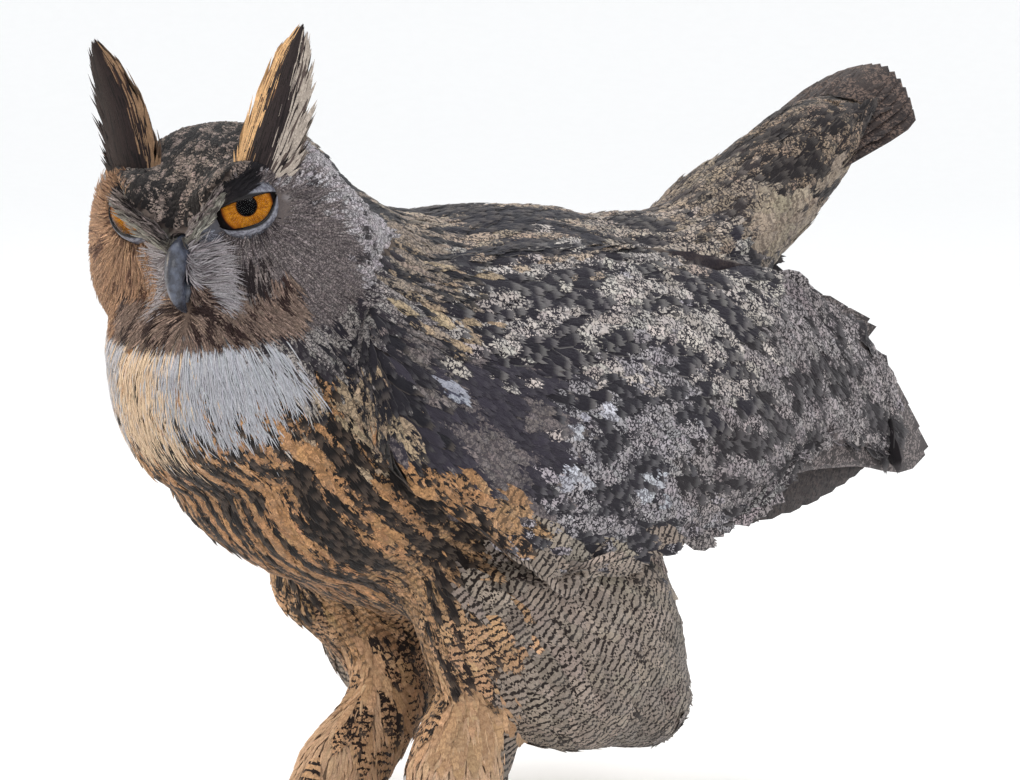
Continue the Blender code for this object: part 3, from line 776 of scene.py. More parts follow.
def head_ways(local, kinds, crown):
    """The way that each root's feather points, in the head's own directions."""
    s, h, v = local.T
    sign = np.where(s >= 0, 1.0, -1.0)
    flat = 0 * s

    def ways(*parts):
        return unit(np.stack([part + flat for part in parts], 1))

    def chosen_where(mask, first, second):
        return np.where(mask[:, None], first, second)

    centre = np.array(DISC_CENTRE) * np.stack((sign, 1 + flat, 1 + flat), 1)
    near_bill = (np.exp(-(np.abs(s) / 20) ** 2) * (v < 14))[:, None]
    away = ways(sign, -0.35, 0.25 - 0.02 * np.maximum(0, -v))
    way = unit(unit(local - centre) * (1 - near_bill) + away * near_bill)
    low = np.clip((-v - 18) / 16, 0, 1)[:, None] * (h > 20)[:, None]
    way = unit(way * (1 - low) + ways(0.5 * s / 30, -0.1, -1) * low)
    way = chosen_where(crown | (h < 5), ways(0.25 * s / 40, -1, 0), way)
    line = (kinds == KIND_AT["brow"]) | (kinds == KIND_AT["soot"])
    way = chosen_where(line, ways(sign * 0.7, -0.5, 0.5), way)
    return chosen_where(h < -18, ways(0.1 * sign, -1, -0.45), way)


def head_coat(local, rng):
    """Kind and way, in the head's own directions, for roots on the head."""
    kinds, crown = head_kinds(local, rng)
    return kinds, head_ways(local, kinds, crown)


# --- skin ---

FLESH = ["head", "neck", "trunk", "rump"] + [
    f"{part}_{side}" for side in ("left", "right")
    for part in ("thigh", "shank", "foot", "wing")]
WING_CORE_END = 205 * MM


def mesh_arrays(mesh):
    """Places and directions of the mesh's points."""
    count = len(mesh.vertices)
    co = np.empty(count * 3)
    mesh.vertices.foreach_get("co", co)
    normal = np.empty(count * 3)
    mesh.vertices.foreach_get("normal", normal)
    return co.reshape(-1, 3), normal.reshape(-1, 3)


UNDER_ROOTS = 1.1              # the skin lies this much deeper than the coat rises over it
HEAD_DEPTH, WING_DEPTH, FOOT_DEPTH = 2.5, 1.3, 1.6


def coat_depth(points):
    """How far the skin lies inside the coat, in metres."""
    _, _, kind, _ = lie_table()
    depth = kind_column("rise") + UNDER_ROOTS
    found = np.empty(len(points))
    for rows, pull in guide_pulls(points):
        found[rows] = (pull @ depth[kind]) / pull.sum(axis=1)
    x, y, z = points.T / MM
    found = np.where(on_head(to_head(points)), np.minimum(found, HEAD_DEPTH), found)
    thin = np.clip((y - 20) / 60, 0, 1) * (z < 300)
    found = np.where(np.abs(x) > 38, found * (1 - thin) + WING_DEPTH * thin, found)
    found = np.where(points[:, 2] < 0.028, FOOT_DEPTH, found)
    return found * MM


# places where the flesh is fuller or leaner than its forms: centre, reach and how far out
FULLER = (
    ((-30, -238, 190), 30, 9.0), ((-27, -250, 207), 18, 3.0), ((-64, -132, 128), 22, 8.0),
    ((-38, -152, 132), 24, 4.0), ((-58, -256, 300), 30, 6.0), ((-52, -262, 272), 24, 2.0),
    ((0, 4, 320), 36, 7.0), ((76, 14, 62), 26, 12.0), ((-52, -142, 70), 26, -8.0),
    ((-55, -106, 68), 20, -8.0), ((-46, -143, 42), 18, -4.5), ((-41, -122, 84), 24, -6.0),
    ((-25, -243, 378), 26, 5.0), ((-48, -267, 254), 20, -4.0), ((80, 14, 132), 20, -5.0),
    ((-15, 146, 358), 30, -2.0), ((-22, 88, 322), 22, -5.5), ((63, -197, 360), 20, -4.0),
    ((15, 222, 386), 20, -4.0), ((2, 38, 318), 30, 7.0), ((64, -80, 45), 20, -4.5),
)
# moves of the brows, in the head's own measure: centre, reach and way
BROWS = (((-17, 58, 22), 9, (0, 6, 0)), ((-28, 54, 32), 10, (0, 7, 0)),
         ((13, 58, 13), 9, (0, 2.5, 0)),
         ((-37, 26, 44), 12, (0, -5, -8)), ((41, 26, 46), 12, (0, -5, -8)))


SOCKET_RADIUS, SOCKET_CORE = 20.5, 4.0      # skin this near an eye is drawn in to its core


def modified(obj, name, kind, **settings):
    """Adds a modifier; finish_modifiers applies it."""
    made = obj.modifiers.new(name, kind)
    for key, value in settings.items():
        setattr(made, key, value)


def shaped_flesh(co, normal):
    """The skin's points, drawn in by the coat's depth and modelled where the flesh differs."""
    co = co - normal * coat_depth(co)[:, None]
    for centre, reach, out in FULLER:
        gap = np.linalg.norm(co / MM - np.array(centre), axis=1)
        co = co + normal * (out * MM * np.exp(-(gap / reach) ** 2))[:, None]
    local = to_head(co)
    for centre, reach, out in BROWS:
        gap = np.linalg.norm(local - np.array(centre), axis=1)
        local += np.array(out) * np.exp(-(gap / reach) ** 2)[:, None]
    for side_name in SIDES:
        centre, _, _, ahead = eye_axes(side_name)
        rel = local - centre
        gap = np.linalg.norm(rel, axis=1)
        inside = (gap < SOCKET_RADIUS) & (rel @ ahead > 1.0)
        local[inside] = centre + rel[inside] * (SOCKET_CORE / gap[inside])[:, None]
    co = from_head(local)
    co[:, 2] = np.maximum(co[:, 2], 0.8 * MM)
    return co


def build_skin():
    """Melts the flesh forms together and draws the result in under the coat."""
    copies = [copy_of(n) for n in FLESH + ["secondaries_left", "secondaries_right",
                                           "eye_left", "eye_right"]]
    for obj in copies:
        modified(obj, "swell", "DISPLACE", strength=0.7 * MM, mid_level=0)
        finish_modifiers(obj)
    skin = joined(copies, "skin")
    modified(skin, "melt", "REMESH", mode="VOXEL",
             voxel_size=bpy.context.scene.owl_sizes.skin_grain)
    modified(skin, "soften", "SMOOTH", factor=0.5, iterations=5)
    finish_modifiers(skin)
    co = shaped_flesh(*mesh_arrays(skin.data))
    skin.data.vertices.foreach_set("co", co.ravel())
    skin.data.update()
    modified(skin, "soften", "SMOOTH", factor=0.5, iterations=3)
    finish_modifiers(skin)
    edited(skin, bpy.ops.mesh.bisect, plane_co=(0, WING_CORE_END, 0.2), plane_no=(0, 1, 0.0),
           use_fill=True, clear_outer=False, clear_inner=False)
    return skin


def cut_wing_core(skin):
    """Takes off the thin rear ends, which the flight feathers make up."""
    form = bmesh.new()
    form.from_mesh(skin.data)
    gone = [v for v in form.verts
            if v.co.y > WING_CORE_END + 1e-5 and (abs(v.co.x) > 0.034 or v.co.z < 0.27)]
    bmesh.ops.delete(form, geom=gone, context="VERTS")
    rims = [e for e in form.edges if e.is_boundary]
    bmesh.ops.holes_fill(form, edges=rims, sides=0)
    bmesh.ops.triangulate(form, faces=[f for f in form.faces if len(f.verts) > 4])
    bmesh.ops.recalc_face_normals(form, faces=form.faces)
    form.to_mesh(skin.data)
    form.free()


def unwrap(obj):
    """Lays the whole mesh out in one set of coordinates."""
    while obj.data.uv_layers:
        obj.data.uv_layers.remove(obj.data.uv_layers[0])
    obj.data.uv_layers.new(name="OFBake")
    edited(obj, bpy.ops.uv.smart_project, angle_limit=math.radians(66), island_margin=0.002)


# --- coat ---

class Ground:
    """The skin as a surface that roots stand on."""

    def __init__(self, obj):
        mesh = obj.data
        self.co, self.normal = mesh_arrays(mesh)
        mesh.calc_loop_triangles()
        count = len(mesh.loop_triangles)
        self.tri = np.empty(count * 3, dtype=np.int32)
        mesh.loop_triangles.foreach_get("vertices", self.tri)
        self.tri = self.tri.reshape(-1, 3)
        loops = np.empty(count * 3, dtype=np.int32)
        mesh.loop_triangles.foreach_get("loops", loops)
        uv = np.empty(len(mesh.loops) * 2)
        mesh.uv_layers["OFBake"].data.foreach_get("uv", uv)
        self.uv = uv.reshape(-1, 2)[loops.reshape(-1, 3)]
        corner = self.co[self.tri]
        self.area = np.linalg.norm(np.cross(corner[:, 1] - corner[:, 0],
                                            corner[:, 2] - corner[:, 0]), axis=1) / 2
        self.tree = BVHTree.FromPolygons(self.co.tolist(), self.tri.tolist())

    def scatter(self, spacing, richness, rng):
        """Random roots, richness of them for each square of the spacing."""
        wanted = self.area / np.maximum(spacing[self.tri].mean(axis=1), 1e-6) ** 2 * richness
        count = np.floor(wanted + rng.random(len(wanted))).astype(int)
        face = np.repeat(np.arange(len(count)), count)
        a, b = rng.random(len(face)), rng.random(len(face))
        flip = a + b > 1
        a[flip], b[flip] = 1 - a[flip], 1 - b[flip]
        share = np.stack((1 - a - b, a, b), 1)[:, :, None]
        points = (self.co[self.tri[face]] * share).sum(axis=1)
        normals = unit((self.normal[self.tri[face]] * share).sum(axis=1))
        return points, normals, (self.uv[face] * share).sum(axis=1)


def point_tree(points):
    """The points, ready for questions about which ones are near."""
    tree = KDTree(len(points))
    for i, p in enumerate(points):
        tree.insert(p, i)
    tree.balance()
    return tree


def thinned(points, spacing, rng):
    """Indices of roots that keep their spacing from one another."""
    tree = point_tree(points)
    alive = np.ones(len(points), dtype=bool)
    kept = []
    for i in rng.permutation(len(points)):
        if alive[i]:
            kept.append(i)
            for _, j, _ in tree.find_range(points[i], spacing[i]):
                alive[j] = False
    return np.array(sorted(kept))


def trace(tree, start, normal, way, length, shares):
    """Points and normals that follow the surface from each root."""
    count, steps = len(start), len(shares)
    spine = np.empty((count, steps, 3))
    facing = np.empty((count, steps, 3))
    for i in range(count):
        p, n, d = Vector(start[i]), Vector(normal[i]), Vector(way[i])
        d = (d - n * d.dot(n)).normalized()
        last = 0.0
        for k in range(steps):
            share = shares[k]
            if share > last:
                q = p + d * (length[i] * (share - last))
                hit, hn, _, _ = tree.find_nearest(q)
                if hn.dot(n) > 0.35:
                    moved = hit - p
                    p = q.lerp(hit, 0.85)
                    n = n.lerp(hn, 0.6).normalized()
                    d = moved - n * moved.dot(n)
                    d.normalize()
                else:
                    p = q
                last = share
            spine[i, k] = p
            facing[i, k] = n
    return spine, facing


SMALL = 12                     # feathers shorter than this, in millimetres, get fewer locks
VANE = dict(shares=(0, .22, .5, .8, 1.0), half=(0, .65, .92, .74, 0), thick=.15, droop=.10, ring=4)
HAIR = dict(shares=(0, .35, .72, 1.0), half=(0, 1.0, .8, 0), thick=.5, droop=.1, ring=3)


def vane_arrays(spine, facing, half, thick, droop, ring):
    """Corners, faces and vane coordinates of closed thin vanes, one per spine."""
    count, steps = spine.shape[:2]
    way = np.empty((count, steps, 3))
    way[:, 1:-1] = spine[:, 2:] - spine[:, :-2]
    way[:, 0], way[:, -1] = way[:, 1], way[:, -2]
    across = unit(np.cross(way, facing))
    tall = unit(np.cross(across, way))
    h, t = half[:, :, None], thick[:, :, None]
    side = [spine - across * h - tall * h * droop, spine + tall * t,
            spine + across * h - tall * h * droop, spine - tall * t * 0.4]
    side = np.stack(side[:ring], 2)[:, 1:-1].reshape(count, -1, 3)
    verts = np.concatenate((spine[:, :1], side, spine[:, -1:]), 1)
    per = verts.shape[1]
    quads, tris = [], []
    for i in range(ring):
        j = (i + 1) % ring
        tris.append((0, 1 + j, 1 + i))
        for k in range(steps - 3):
            base, above = 1 + ring * k, 1 + ring * (k + 1)
            quads.append((base + i, base + j, above + j, above + i))
        last = 1 + ring * (steps - 3)
        tris.append((last + i, last + j, per - 1))
    return verts, np.array(quads, dtype=int), np.array(tris), per


# where fine locks lie over a vane: across it from edge to edge, and where along it they end
LANES, LOCK_ENDS = (-.86, -.5, -.16, .16, .5, .86), (.80, 1.04)
SMALL_LANES, SMALL_ENDS = (-.66, 0, .66), (.78, 1.03)


def at_share(values, shares, v):
    """values along each spine at its own share v (count, n), carried on past the tip."""
    k = np.clip(np.searchsorted(shares, v, side="right") - 1, 0, len(shares) - 2)
    part = (v - shares[k]) / (shares[k + 1] - shares[k])
    rows = np.arange(len(values))[:, None]
    if values.ndim == 2:
        return values[rows, k] * (1 - part) + values[rows, k + 1] * part
    return values[rows, k] * (1 - part[..., None]) + values[rows, k + 1] * part[..., None]


def barbs_of(b, lanes, ends, rng, reach=.34):
    """Fine locks over each vane, nearly along its shaft, which fray its outline."""
    shares, spine, facing = b["shares"], b["spine"], b["facing"]
    lanes, ends = np.array(lanes), np.array(ends)
    lane, end = (x.ravel() for x in np.meshgrid(lanes, ends))
    lane = lane * np.where(end > 1, .62, 1)
    count, each = len(spine), len(lane)
    shape = (count, each)
    to_v = end + rng.normal(0, .1 * reach, shape)
    from_v = to_v - reach
    to_u = lane * (1 + rng.normal(0, .06, shape)) + rng.normal(0, .07, shape)
    from_u = to_u * .72
    way = unit(np.gradient(spine, axis=1))
    across = unit(np.cross(way, facing))
    wide = b["half"].max(axis=1)[:, None]
    outline = b["half"] / wide
    outline[:, -1] = .7 * outline[:, -2]
    outline[:, 0] = .5 * outline[:, 1]
    outline = at_share(np.minimum(outline * 1.08, 1), shares, np.minimum(to_v, 1.0))

    def spot(v, u, half, lift):
        place = at_share(spine, shares, v)
        side = at_share(across, shares, np.clip(v, 0, 1))
        tall = at_share(facing, shares, np.clip(v, 0, 1))
        drop = np.abs(u) * half * b["droop"]
        return place + side * (u * half)[..., None] + tall * (lift - drop)[..., None], tall

    thin = wide * (1.05 / len(lanes)) * (1 + rng.normal(0, .15, shape))
    start, _ = spot(from_v, from_u, wide * outline, np.full(shape, .02 * MM))
    mid_u, mid_v = (from_u + to_u) * .5, (from_v * .45 + to_v * .55)
    lift = (.16 + .14 * rng.random(shape)) * MM
    middle, tall = spot(mid_v, mid_u, wide * outline, lift)
    end, _ = spot(to_v, to_u, wide * outline, lift * .6)

    def flat(values):
        return values.reshape(-1, *values.shape[2:])

    def keep(values):
        return np.repeat(values, each, axis=0)

    u = np.stack((from_u, mid_u, mid_u, mid_u, to_u), 2).reshape(-1, 5)
    v = np.stack((from_v, mid_v, mid_v, mid_v, to_v), 2).reshape(-1, 5)
    half = np.zeros((count * each, 3))
    half[:, 1] = flat(thin)
    first, last = b["cycles"][:, :1], b["cycles"][:, -1:]
    steps = np.stack((from_v, mid_v, to_v), 2).reshape(-1, 3)
    return dict(spine=np.stack((flat(start), flat(middle), flat(end)), 1),
                facing=np.repeat(flat(tall)[:, None], 3, axis=1), half=half,
                thick=half * .16, droop=.06, ring=3, shares=np.array((0, .5, 1.0)),
                vane=np.stack((np.clip(.5 + .5 * u, 0, 1), np.clip(v, 0, 1)), 2),
                uv=keep(b["uv"]), ground=keep(b["ground"]), mark=keep(b["mark"]),
                figure=keep(b["figure"]), kinds=keep(b["kinds"]), seed=keep(b["seed"]),
                cycles=keep(first) + steps * keep(last - first))


SOFTNESS = 0.65                # how far the light sees the body's form rather than each strand


def soften(mesh, corners, starts, tall, round_way):
    """Turns the surface directions of each vane most of the way to the body's own."""
    flat = np.empty(len(starts) * 3)
    mesh.polygons.foreach_get("normal", flat)
    sides = np.sign((flat.reshape(-1, 3) * tall[corners[starts]]).sum(axis=1))
    sizes = np.diff(np.append(starts, len(corners)))
    sides = np.repeat(sides, sizes)[:, None]
    mixed = tall[corners] * sides * SOFTNESS + round_way[corners] * (1 - SOFTNESS)
    mesh.normals_split_custom_set(unit(mixed))


def block_mesh(b):
    """Corners, faces, directions, coordinates and colours of one block of vanes."""
    v, quads, tris, per = vane_arrays(b["spine"], b["facing"], b["half"], b["thick"],
                                      b["droop"], b["ring"])
    count, ring, steps = len(v), b["ring"], b["spine"].shape[1]

    def spread(rows):
        """One row for each corner, from one for each step of the spine."""
        return np.concatenate((rows[:, :1], np.repeat(rows[:, 1:-1], ring, axis=1),
                               rows[:, -1:]), 1).reshape(-1, *rows.shape[2:])

    local = np.concatenate((quads.ravel(), tris.ravel()))[None].repeat(count, axis=0)
    sizes = np.array([4] * len(quads) + [3] * len(tris))
    first = np.concatenate(([0], np.cumsum(sizes)[:-1]))
    rows = np.arange(count)[:, None]
    if "vane" in b:
        own = b["vane"][rows, local]
    else:
        u = np.array((.5,) + (0, .5, 1, .5)[:ring] * (steps - 2) + (.5,))
        w = np.concatenate(([0], np.repeat(b["shares"][1:-1], ring), [1]))
        own = np.stack((u[local], w[local]), 2)
    tall, figure = spread(b["facing"]), np.repeat(b["figure"], per, axis=0)
    figure[:, 2] = spread(b["cycles"])
    return dict(
        verts=v.reshape(-1, 3), corners=(per * rows + local).ravel(),
        starts=(first[None] + local.shape[1] * rows).ravel(), tall=tall,
        round_way=unit(v.reshape(-1, 3) - spread(b["spine"]) + tall * 1e-7),
        Vane=own.reshape(-1, 2), OFBake=(b["uv"][:, None] + (own - .5) * 0.003).reshape(-1, 2),
        ground=np.repeat(b["ground"], per, axis=0), mark=np.repeat(b["mark"], per, axis=0),
        figure=figure)


def coat_object(name, blocks):
    """One mesh from blocks of vanes, with their coordinates and colours."""
    made = [block_mesh(b) for b in blocks]
    offset = loop_offset = 0
    for part in made:
        part["corners"] += offset
        part["starts"] += loop_offset
        offset += len(part["verts"])
        loop_offset += len(part["corners"])
    whole = {key: np.concatenate([part[key] for part in made]) for key in made[0]}
    verts, corners, starts = whole["verts"], whole["corners"], whole["starts"]
    mesh = bpy.data.meshes.new(name)
    mesh.vertices.add(len(verts))
    verts[:, 2] = np.maximum(verts[:, 2], 0.2 * MM)
    mesh.vertices.foreach_set("co", verts.ravel())
    mesh.loops.add(len(corners))
    mesh.loops.foreach_set("vertex_index", corners.astype(np.int32))
    mesh.polygons.add(len(starts))
    mesh.polygons.foreach_set("loop_start", starts.astype(np.int32))
    mesh.update(calc_edges=True)
    for layer in ("OFBake", "Vane"):
        mesh.uv_layers.new(name=layer).data.foreach_set("uv", whole[layer].ravel())
    for layer in ("ground", "mark", "figure"):
        held = mesh.attributes.new(layer, "FLOAT_COLOR", "POINT")
        held.data.foreach_set("color", whole[layer].ravel())
    mesh.polygons.foreach_set("use_smooth", np.ones(len(starts), dtype=bool))
    soften(mesh, corners, starts, whole["tall"], whole["round_way"])
    obj = placed(name, mesh)
    dress(obj, "plumage", plumage_material)
    return obj


WEAVE_STEP = 3.1 * MM
RUN_START = np.array((0, .8, -.6))


class Weave:
    """The skin's points, each of which knows its neighbours along and across the lie."""

    def __init__(self, co, normal, ways):
        self.co = co
        self.ways = unit(ways - normal * (ways * normal).sum(axis=1)[:, None])
        across = np.cross(normal, self.ways)
        self.tree = point_tree(co)
        self.ahead, self.behind, self.right, self.left = (
            np.array([self.tree.find(p)[1] for p in co + way * WEAVE_STEP])
            for way in (self.ways, -self.ways, across, -across))
        self.run = self.measured()
        self.dark = np.array([self.blotches(kind.dark_along, kind.dark_across, i)
                              if kind.dark_share else np.zeros(len(co))
                              for i, kind in enumerate(KINDS.values())])

    def measured(self):
        """Millimetres run along the lie, in step on neighbouring feathers."""
        run = self.co @ RUN_START / MM
        hands = (self.ahead, self.behind, self.right, self.left)
        gaps = [((self.co[j] - self.co) * self.ways).sum(axis=1) / MM for j in hands]
        for _ in range(400):
            run = sum(run[j] - gap for j, gap in zip(hands, gaps)) / 4
        return run

    def blotches(self, along, across, seed):
        """Rank from 0 to 1 of a random field drawn out along the lie."""
        value = np.random.default_rng(SEED * 100 + seed).normal(0, 1, len(self.co))
        for hands, reach in (((self.ahead, self.behind), along * MM),
                             ((self.right, self.left), across * MM)):
            total = value.copy()
            for hand in hands:
                at = np.arange(len(value))
                for k in range(1, int(2 * reach / WEAVE_STEP) + 1):
                    at = hand[at]
                    total = total + math.exp(-.5 * (k * WEAVE_STEP / reach) ** 2) * value[at]
            value = total
        rank = np.empty(len(value))
        rank[np.argsort(value)] = np.linspace(0, 1, len(value))
        return rank

    def marks(self, points, kinds):
        """Darkness and bar count at each point, for feathers of its kind."""
        found = [self.tree.find_n(p, 3) for p in points]
        index = np.array([[near[1] for near in row] for row in found])
        pull = 1 / (np.array([[near[2] for near in row] for row in found]) / MM + .4)
        pull /= pull.sum(axis=1, keepdims=True)
        share = kind_column("dark_share")[kinds]
        rank = (self.dark[kinds[:, None], index] * pull).sum(axis=1)
        dark = np.where(share > 0, np.clip((rank - 1 + share) * 2.6 + .5, -1, 2), -1)
        return dark, (self.run[index] * pull).sum(axis=1)


def marked(made, weave, at):
    """Gives a block its darkness and bar count, looked up at one step of each spine."""
    spine, shares, kinds = made["spine"], made["shares"], made["kinds"]
    dark, run = weave.marks(spine[:, at], kinds)
    length = np.linalg.norm(np.diff(spine, axis=1), axis=2).sum(axis=1) / MM
    run = run[:, None] + (shares - shares[at])[None] * length[:, None]
    made["cycles"] = run / kind_column("pitch")[kinds][:, None] + made["seed"][:, None] * .16
    made["mark"] = np.column_stack((made["mark"][:, :3], dark))
    return made


FADE = {"rim": .74, "flank": .60, "flank_pale": .52, "leg": .92, "toe": .92, "thigh": .80,
        "throat": .56, "throat_warm": .72, "breast": .64, "disc_warm": .56, "undertail": .58,
        "tail_covert": .70, "disc": .62, "breast_low": .64, "lore": .60, "brow": .62,
        "bristle": .66}
VARY = {"throat": .07, "throat_warm": .07, "leg": .10, "toe": .10, "soot": .15, "bristle": .2}
FINENESS = {"crown": .85, "disc": 1.9, "disc_warm": 1.6, "rim": 1.5, "lore": 1.8, "brow": 1.6,
            "chin": 1.4, "neck_side": 1.3, "dark_hair": 1.5, "bristle": 1.5}


def kind_fade():
    """How much darker than its swatch each kind's ground lies on the body."""
    return np.array([FADE.get(n, .66) for n in KIND_NAMES])


def paint_rows(kinds, rng):
    """Ground, mark and figure of each root, varied a little from one to the next."""
    ground, mark = kind_tones("ground")[kinds], kind_tones("mark")[kinds]
    count = len(kinds)
    vary = np.array([VARY.get(n, .26 if KINDS[n].form == "hair" else .12) for n in KIND_NAMES])
    light = np.exp(rng.normal(0, 1, count) * vary[kinds])
    ground = ground * (kind_fade()[kinds] * light)[:, None]
    ground = ground * (1 + rng.normal(0, .015, (count, 3)))
    mark = mark * np.exp(rng.normal(0, .12, count))[:, None]
    figure = np.stack([kind_column(k)[kinds]
                       for k in ("barred", "mottled", "barred", "fringe")], 1)
    fineness = np.array([FINENESS.get(n, 1.0) for n in KIND_NAMES])[kinds]
    return (np.column_stack((np.clip(ground, 0, 1), fineness)),
            np.column_stack((np.clip(mark, 0, 1), np.ones(count))), figure)


def block(ground_tree, points, normals, ways, kinds, uv, room, rng, form):
    """One block of vanes or hairs, laid over the skin like shingles."""
    count = len(points)
    length = kind_column("length", MM)[kinds] * (1 + rng.normal(0, .10, count))
    length = np.minimum(length, room)
    width = kind_column("width", MM)[kinds] * (1 + rng.normal(0, .08, count))
    rise = kind_column("rise", MM)[kinds] * (1 + rng.normal(0, .12, count))
    turn = rng.normal(0, .09 if form is VANE else .14, count)[:, None]
    cross = np.cross(normals, ways)
    ways = unit(ways * np.cos(turn) + cross * np.sin(turn))
    spine, facing = trace(ground_tree, points, normals, ways, length, form["shares"])
    shares = np.array(form["shares"])
    climb = 0.15 + 0.85 * shares ** 0.9
    spine = spine + facing * (rise[:, None] * climb[None])[:, :, None]
    spine[:, 0] -= normals * 0.6 * MM
    half = width[:, None] / 2 * np.array(form["half"])[None]
    if form is VANE:
        thick = np.full((count, len(shares)), form["thick"] * MM)
    else:
        thick = half * form["thick"]
    ground, mark, figure = paint_rows(kinds, rng)
    return dict(spine=spine, facing=facing, half=half, thick=thick, droop=form["droop"],
                ring=form["ring"], shares=shares, uv=uv, ground=ground, mark=mark, figure=figure,
                kinds=kinds, seed=rng.normal(0, 1, count))


def sheltered(tree, points, normals, reach):
    """Roots that another part of the body lies right over."""
    found = np.zeros(len(points), dtype=bool)
    for i, (p, n) in enumerate(zip(points, normals)):
        n = Vector(n)
        hit = tree.ray_cast(Vector(p) + n * 0.001, n, reach)
        found[i] = hit[0] is not None
    return found


def lie_of(points, rng):
    """Kind and way at each point of the body or head."""
    kinds, ways = blend_lie(points, rng)
    local = to_head(points)
    mask = on_head(local)
    head_kinds, head_ways = head_coat(local[mask], rng or np.random.default_rng(1))
    kinds[mask] = head_kinds
    ways[mask] = head_ways @ HEAD_TURN
    return kinds, ways


# height of the wing's rear edge and where it lies along the body
WING_REAR = ((175, 249), (235, 211), (249, 203), (275, 160), (303, 131))


def roots_on(ground, rng):
    """Every root with its kind and way."""
    spacing = kind_column("spacing", MM) * np.where(kind_column("length") < SMALL, .92, .865)
    vertex_kinds, _ = lie_of(ground.co, None)
    points, normals, uv = ground.scatter(spacing[vertex_kinds], 2.6, rng)
    kinds, ways = lie_of(points, rng)
    kept = thinned(points, spacing[kinds] * .92, rng)
    points, normals, uv, kinds, ways = (x[kept] for x in (points, normals, uv, kinds, ways))
    local = to_head(points)
    eyes = bare_eye(local, "left") | bare_eye(local, "right")
    side, ahead, up = local.T
    bill = (np.abs(side) < 5.5) & (ahead > 50) & (up < 5) & (up > -10)
    hidden = sheltered(ground.tree, points, normals, 0.005)
    floor = (points[:, 2] < 0.004)
    y, z = points[:, 1] / MM, points[:, 2] / MM
    on_wing = (np.abs(points[:, 0]) > 30 * MM) & (z < 296) & (y > 60) & (points[:, 0] > 0)
    rear_end = np.interp(z, *zip(*WING_REAR))
    room = np.where(on_wing, (rear_end - y) / .75, 99)
    room = room + 5
    fine = ~(eyes | bill | hidden | floor | (room < 6))
    ways = unit(ways - normals * (ways * normals).sum(axis=1)[:, None])
    return points[fine], normals[fine], uv[fine], kinds[fine], ways[fine], room[fine] * MM


PIECE_FACES = 185000           # a coat piece with more faces than this is parted


def weave_over(skin, ground):
    """The weave of the skin, which also gets the markings as its undercoat."""
    kinds, ways = lie_of(ground.co, None)
    weave = Weave(ground.co, ground.normal, ways)
    dark, _ = weave.marks(ground.co, kinds)
    dark = np.clip(dark, 0, 1)[:, None]
    light, mark = kind_tones("ground")[kinds] * .4, kind_tones("mark")[kinds]
    under = np.column_stack((light * (1 - dark) + mark * dark, np.ones(len(kinds))))
    held = skin.data.attributes.new("undercoat", "FLOAT_COLOR", "POINT")
    held.data.foreach_set("color", under.ravel())
    return weave


def piece_names(points, kinds, cost):
    """The coat piece of each root: its kind's, parted by side and by the count of faces."""
    piece = np.array([kind.piece for kind in KINDS.values()])[kinds].astype("U24")
    for name, across in (("wing", points[:, 0]), ("leg", points[:, 0]),
                         ("face", to_head(points)[:, 0])):
        piece = np.where(piece == name,
                         np.where(across >= 0, name + "_left", name + "_right"), piece)
    for name in sorted(set(piece)):
        here = np.flatnonzero(piece == name)
        parts = int(np.ceil(cost[here].sum() / PIECE_FACES))
        if parts > 1:
            order = here[np.argsort(points[here, 1], kind="stable")]
            share = np.cumsum(cost[order]) / cost[order].sum()
            for k in range(parts):
                part = order[(share > k / parts) & (share <= (k + 1) / parts)]
                piece[part] = f"{name}_{k + 1}"
    return piece


def coat_slot(name):
    """The slot of a coat piece, by the part of the body that it is on."""
    return next((part + "_plumage" for part in ("wing", "leg") if part in name), "plumage")


def coat_pieces():
    """Lays every piece of the coat over the skin."""
    skin = bpy.data.objects["skin"]
    ground = Ground(skin)
    rng = np.random.default_rng(SEED)
    points, normals, uv, kinds, ways, room = roots_on(ground, rng)
    vane = np.array([kind.form == "vane" for kind in KINDS.values()])[kinds]
    small = (kind_column("length") < SMALL)[kinds]
    locks = np.where(small, len(SMALL_LANES) * len(SMALL_ENDS), len(LANES) * len(LOCK_ENDS))
    piece = piece_names(points, kinds, np.where(vane, 24 + 6 * locks, 12))
    weave = weave_over(skin, ground)
    for name in sorted(set(piece)):
        blocks = []
        for form, fits in ((VANE, vane), (HAIR, ~vane)):
            for size, lanes, ends in ((~small, LANES, LOCK_ENDS),
                                      (small, SMALL_LANES, SMALL_ENDS)):
                group = np.flatnonzero((piece == name) & fits & size)
                if not len(group):
                    continue
                made = block(ground.tree, points[group], normals[group], ways[group],
                             kinds[group], uv[group], room[group], rng, form)
                blocks.append(marked(made, weave, len(form["shares"]) - 2))
                if form is VANE:
                    blocks.append(marked(barbs_of(made, lanes, ends, rng), weave, 1))
        obj = coat_object("coat_" + name, blocks)
        rest_on_body(obj, coat_slot(name))


# --- long feathers ---

QUILL = dict(shares=(0, .05, .14, .28, .42, .56, .70, .82, .91, .97, 1.0),
             half=(0, .35, .62, .82, .94, 1.0, 1.0, .97, .86, .58, 0), thick=.4, droop=.10, ring=4)
QUILL_ENDS = np.linspace(.14, .95, 18)
ROW_SHIFT = 29.81              # from the wing's own lengthwise measure to the frame


def wing_side(y, z, trees, lift):
    """The point on the left wing's outer face at that length and height."""
    for tree in trees:
        hit, normal, _, _ = tree.ray_cast(Vector((0.3, y * MM, z * MM)), Vector((-1, 0, 0)))
        if hit is not None:
            return np.array(hit) + np.array(normal) * lift * MM, np.array(normal)
    near, normal, _, _ = trees[0].find_nearest(Vector((0.08, y * MM, z * MM)))
    made = np.array((near.x + lift * MM, y * MM, z * MM))
    return made, np.array((0.97, 0.1, 0.2))


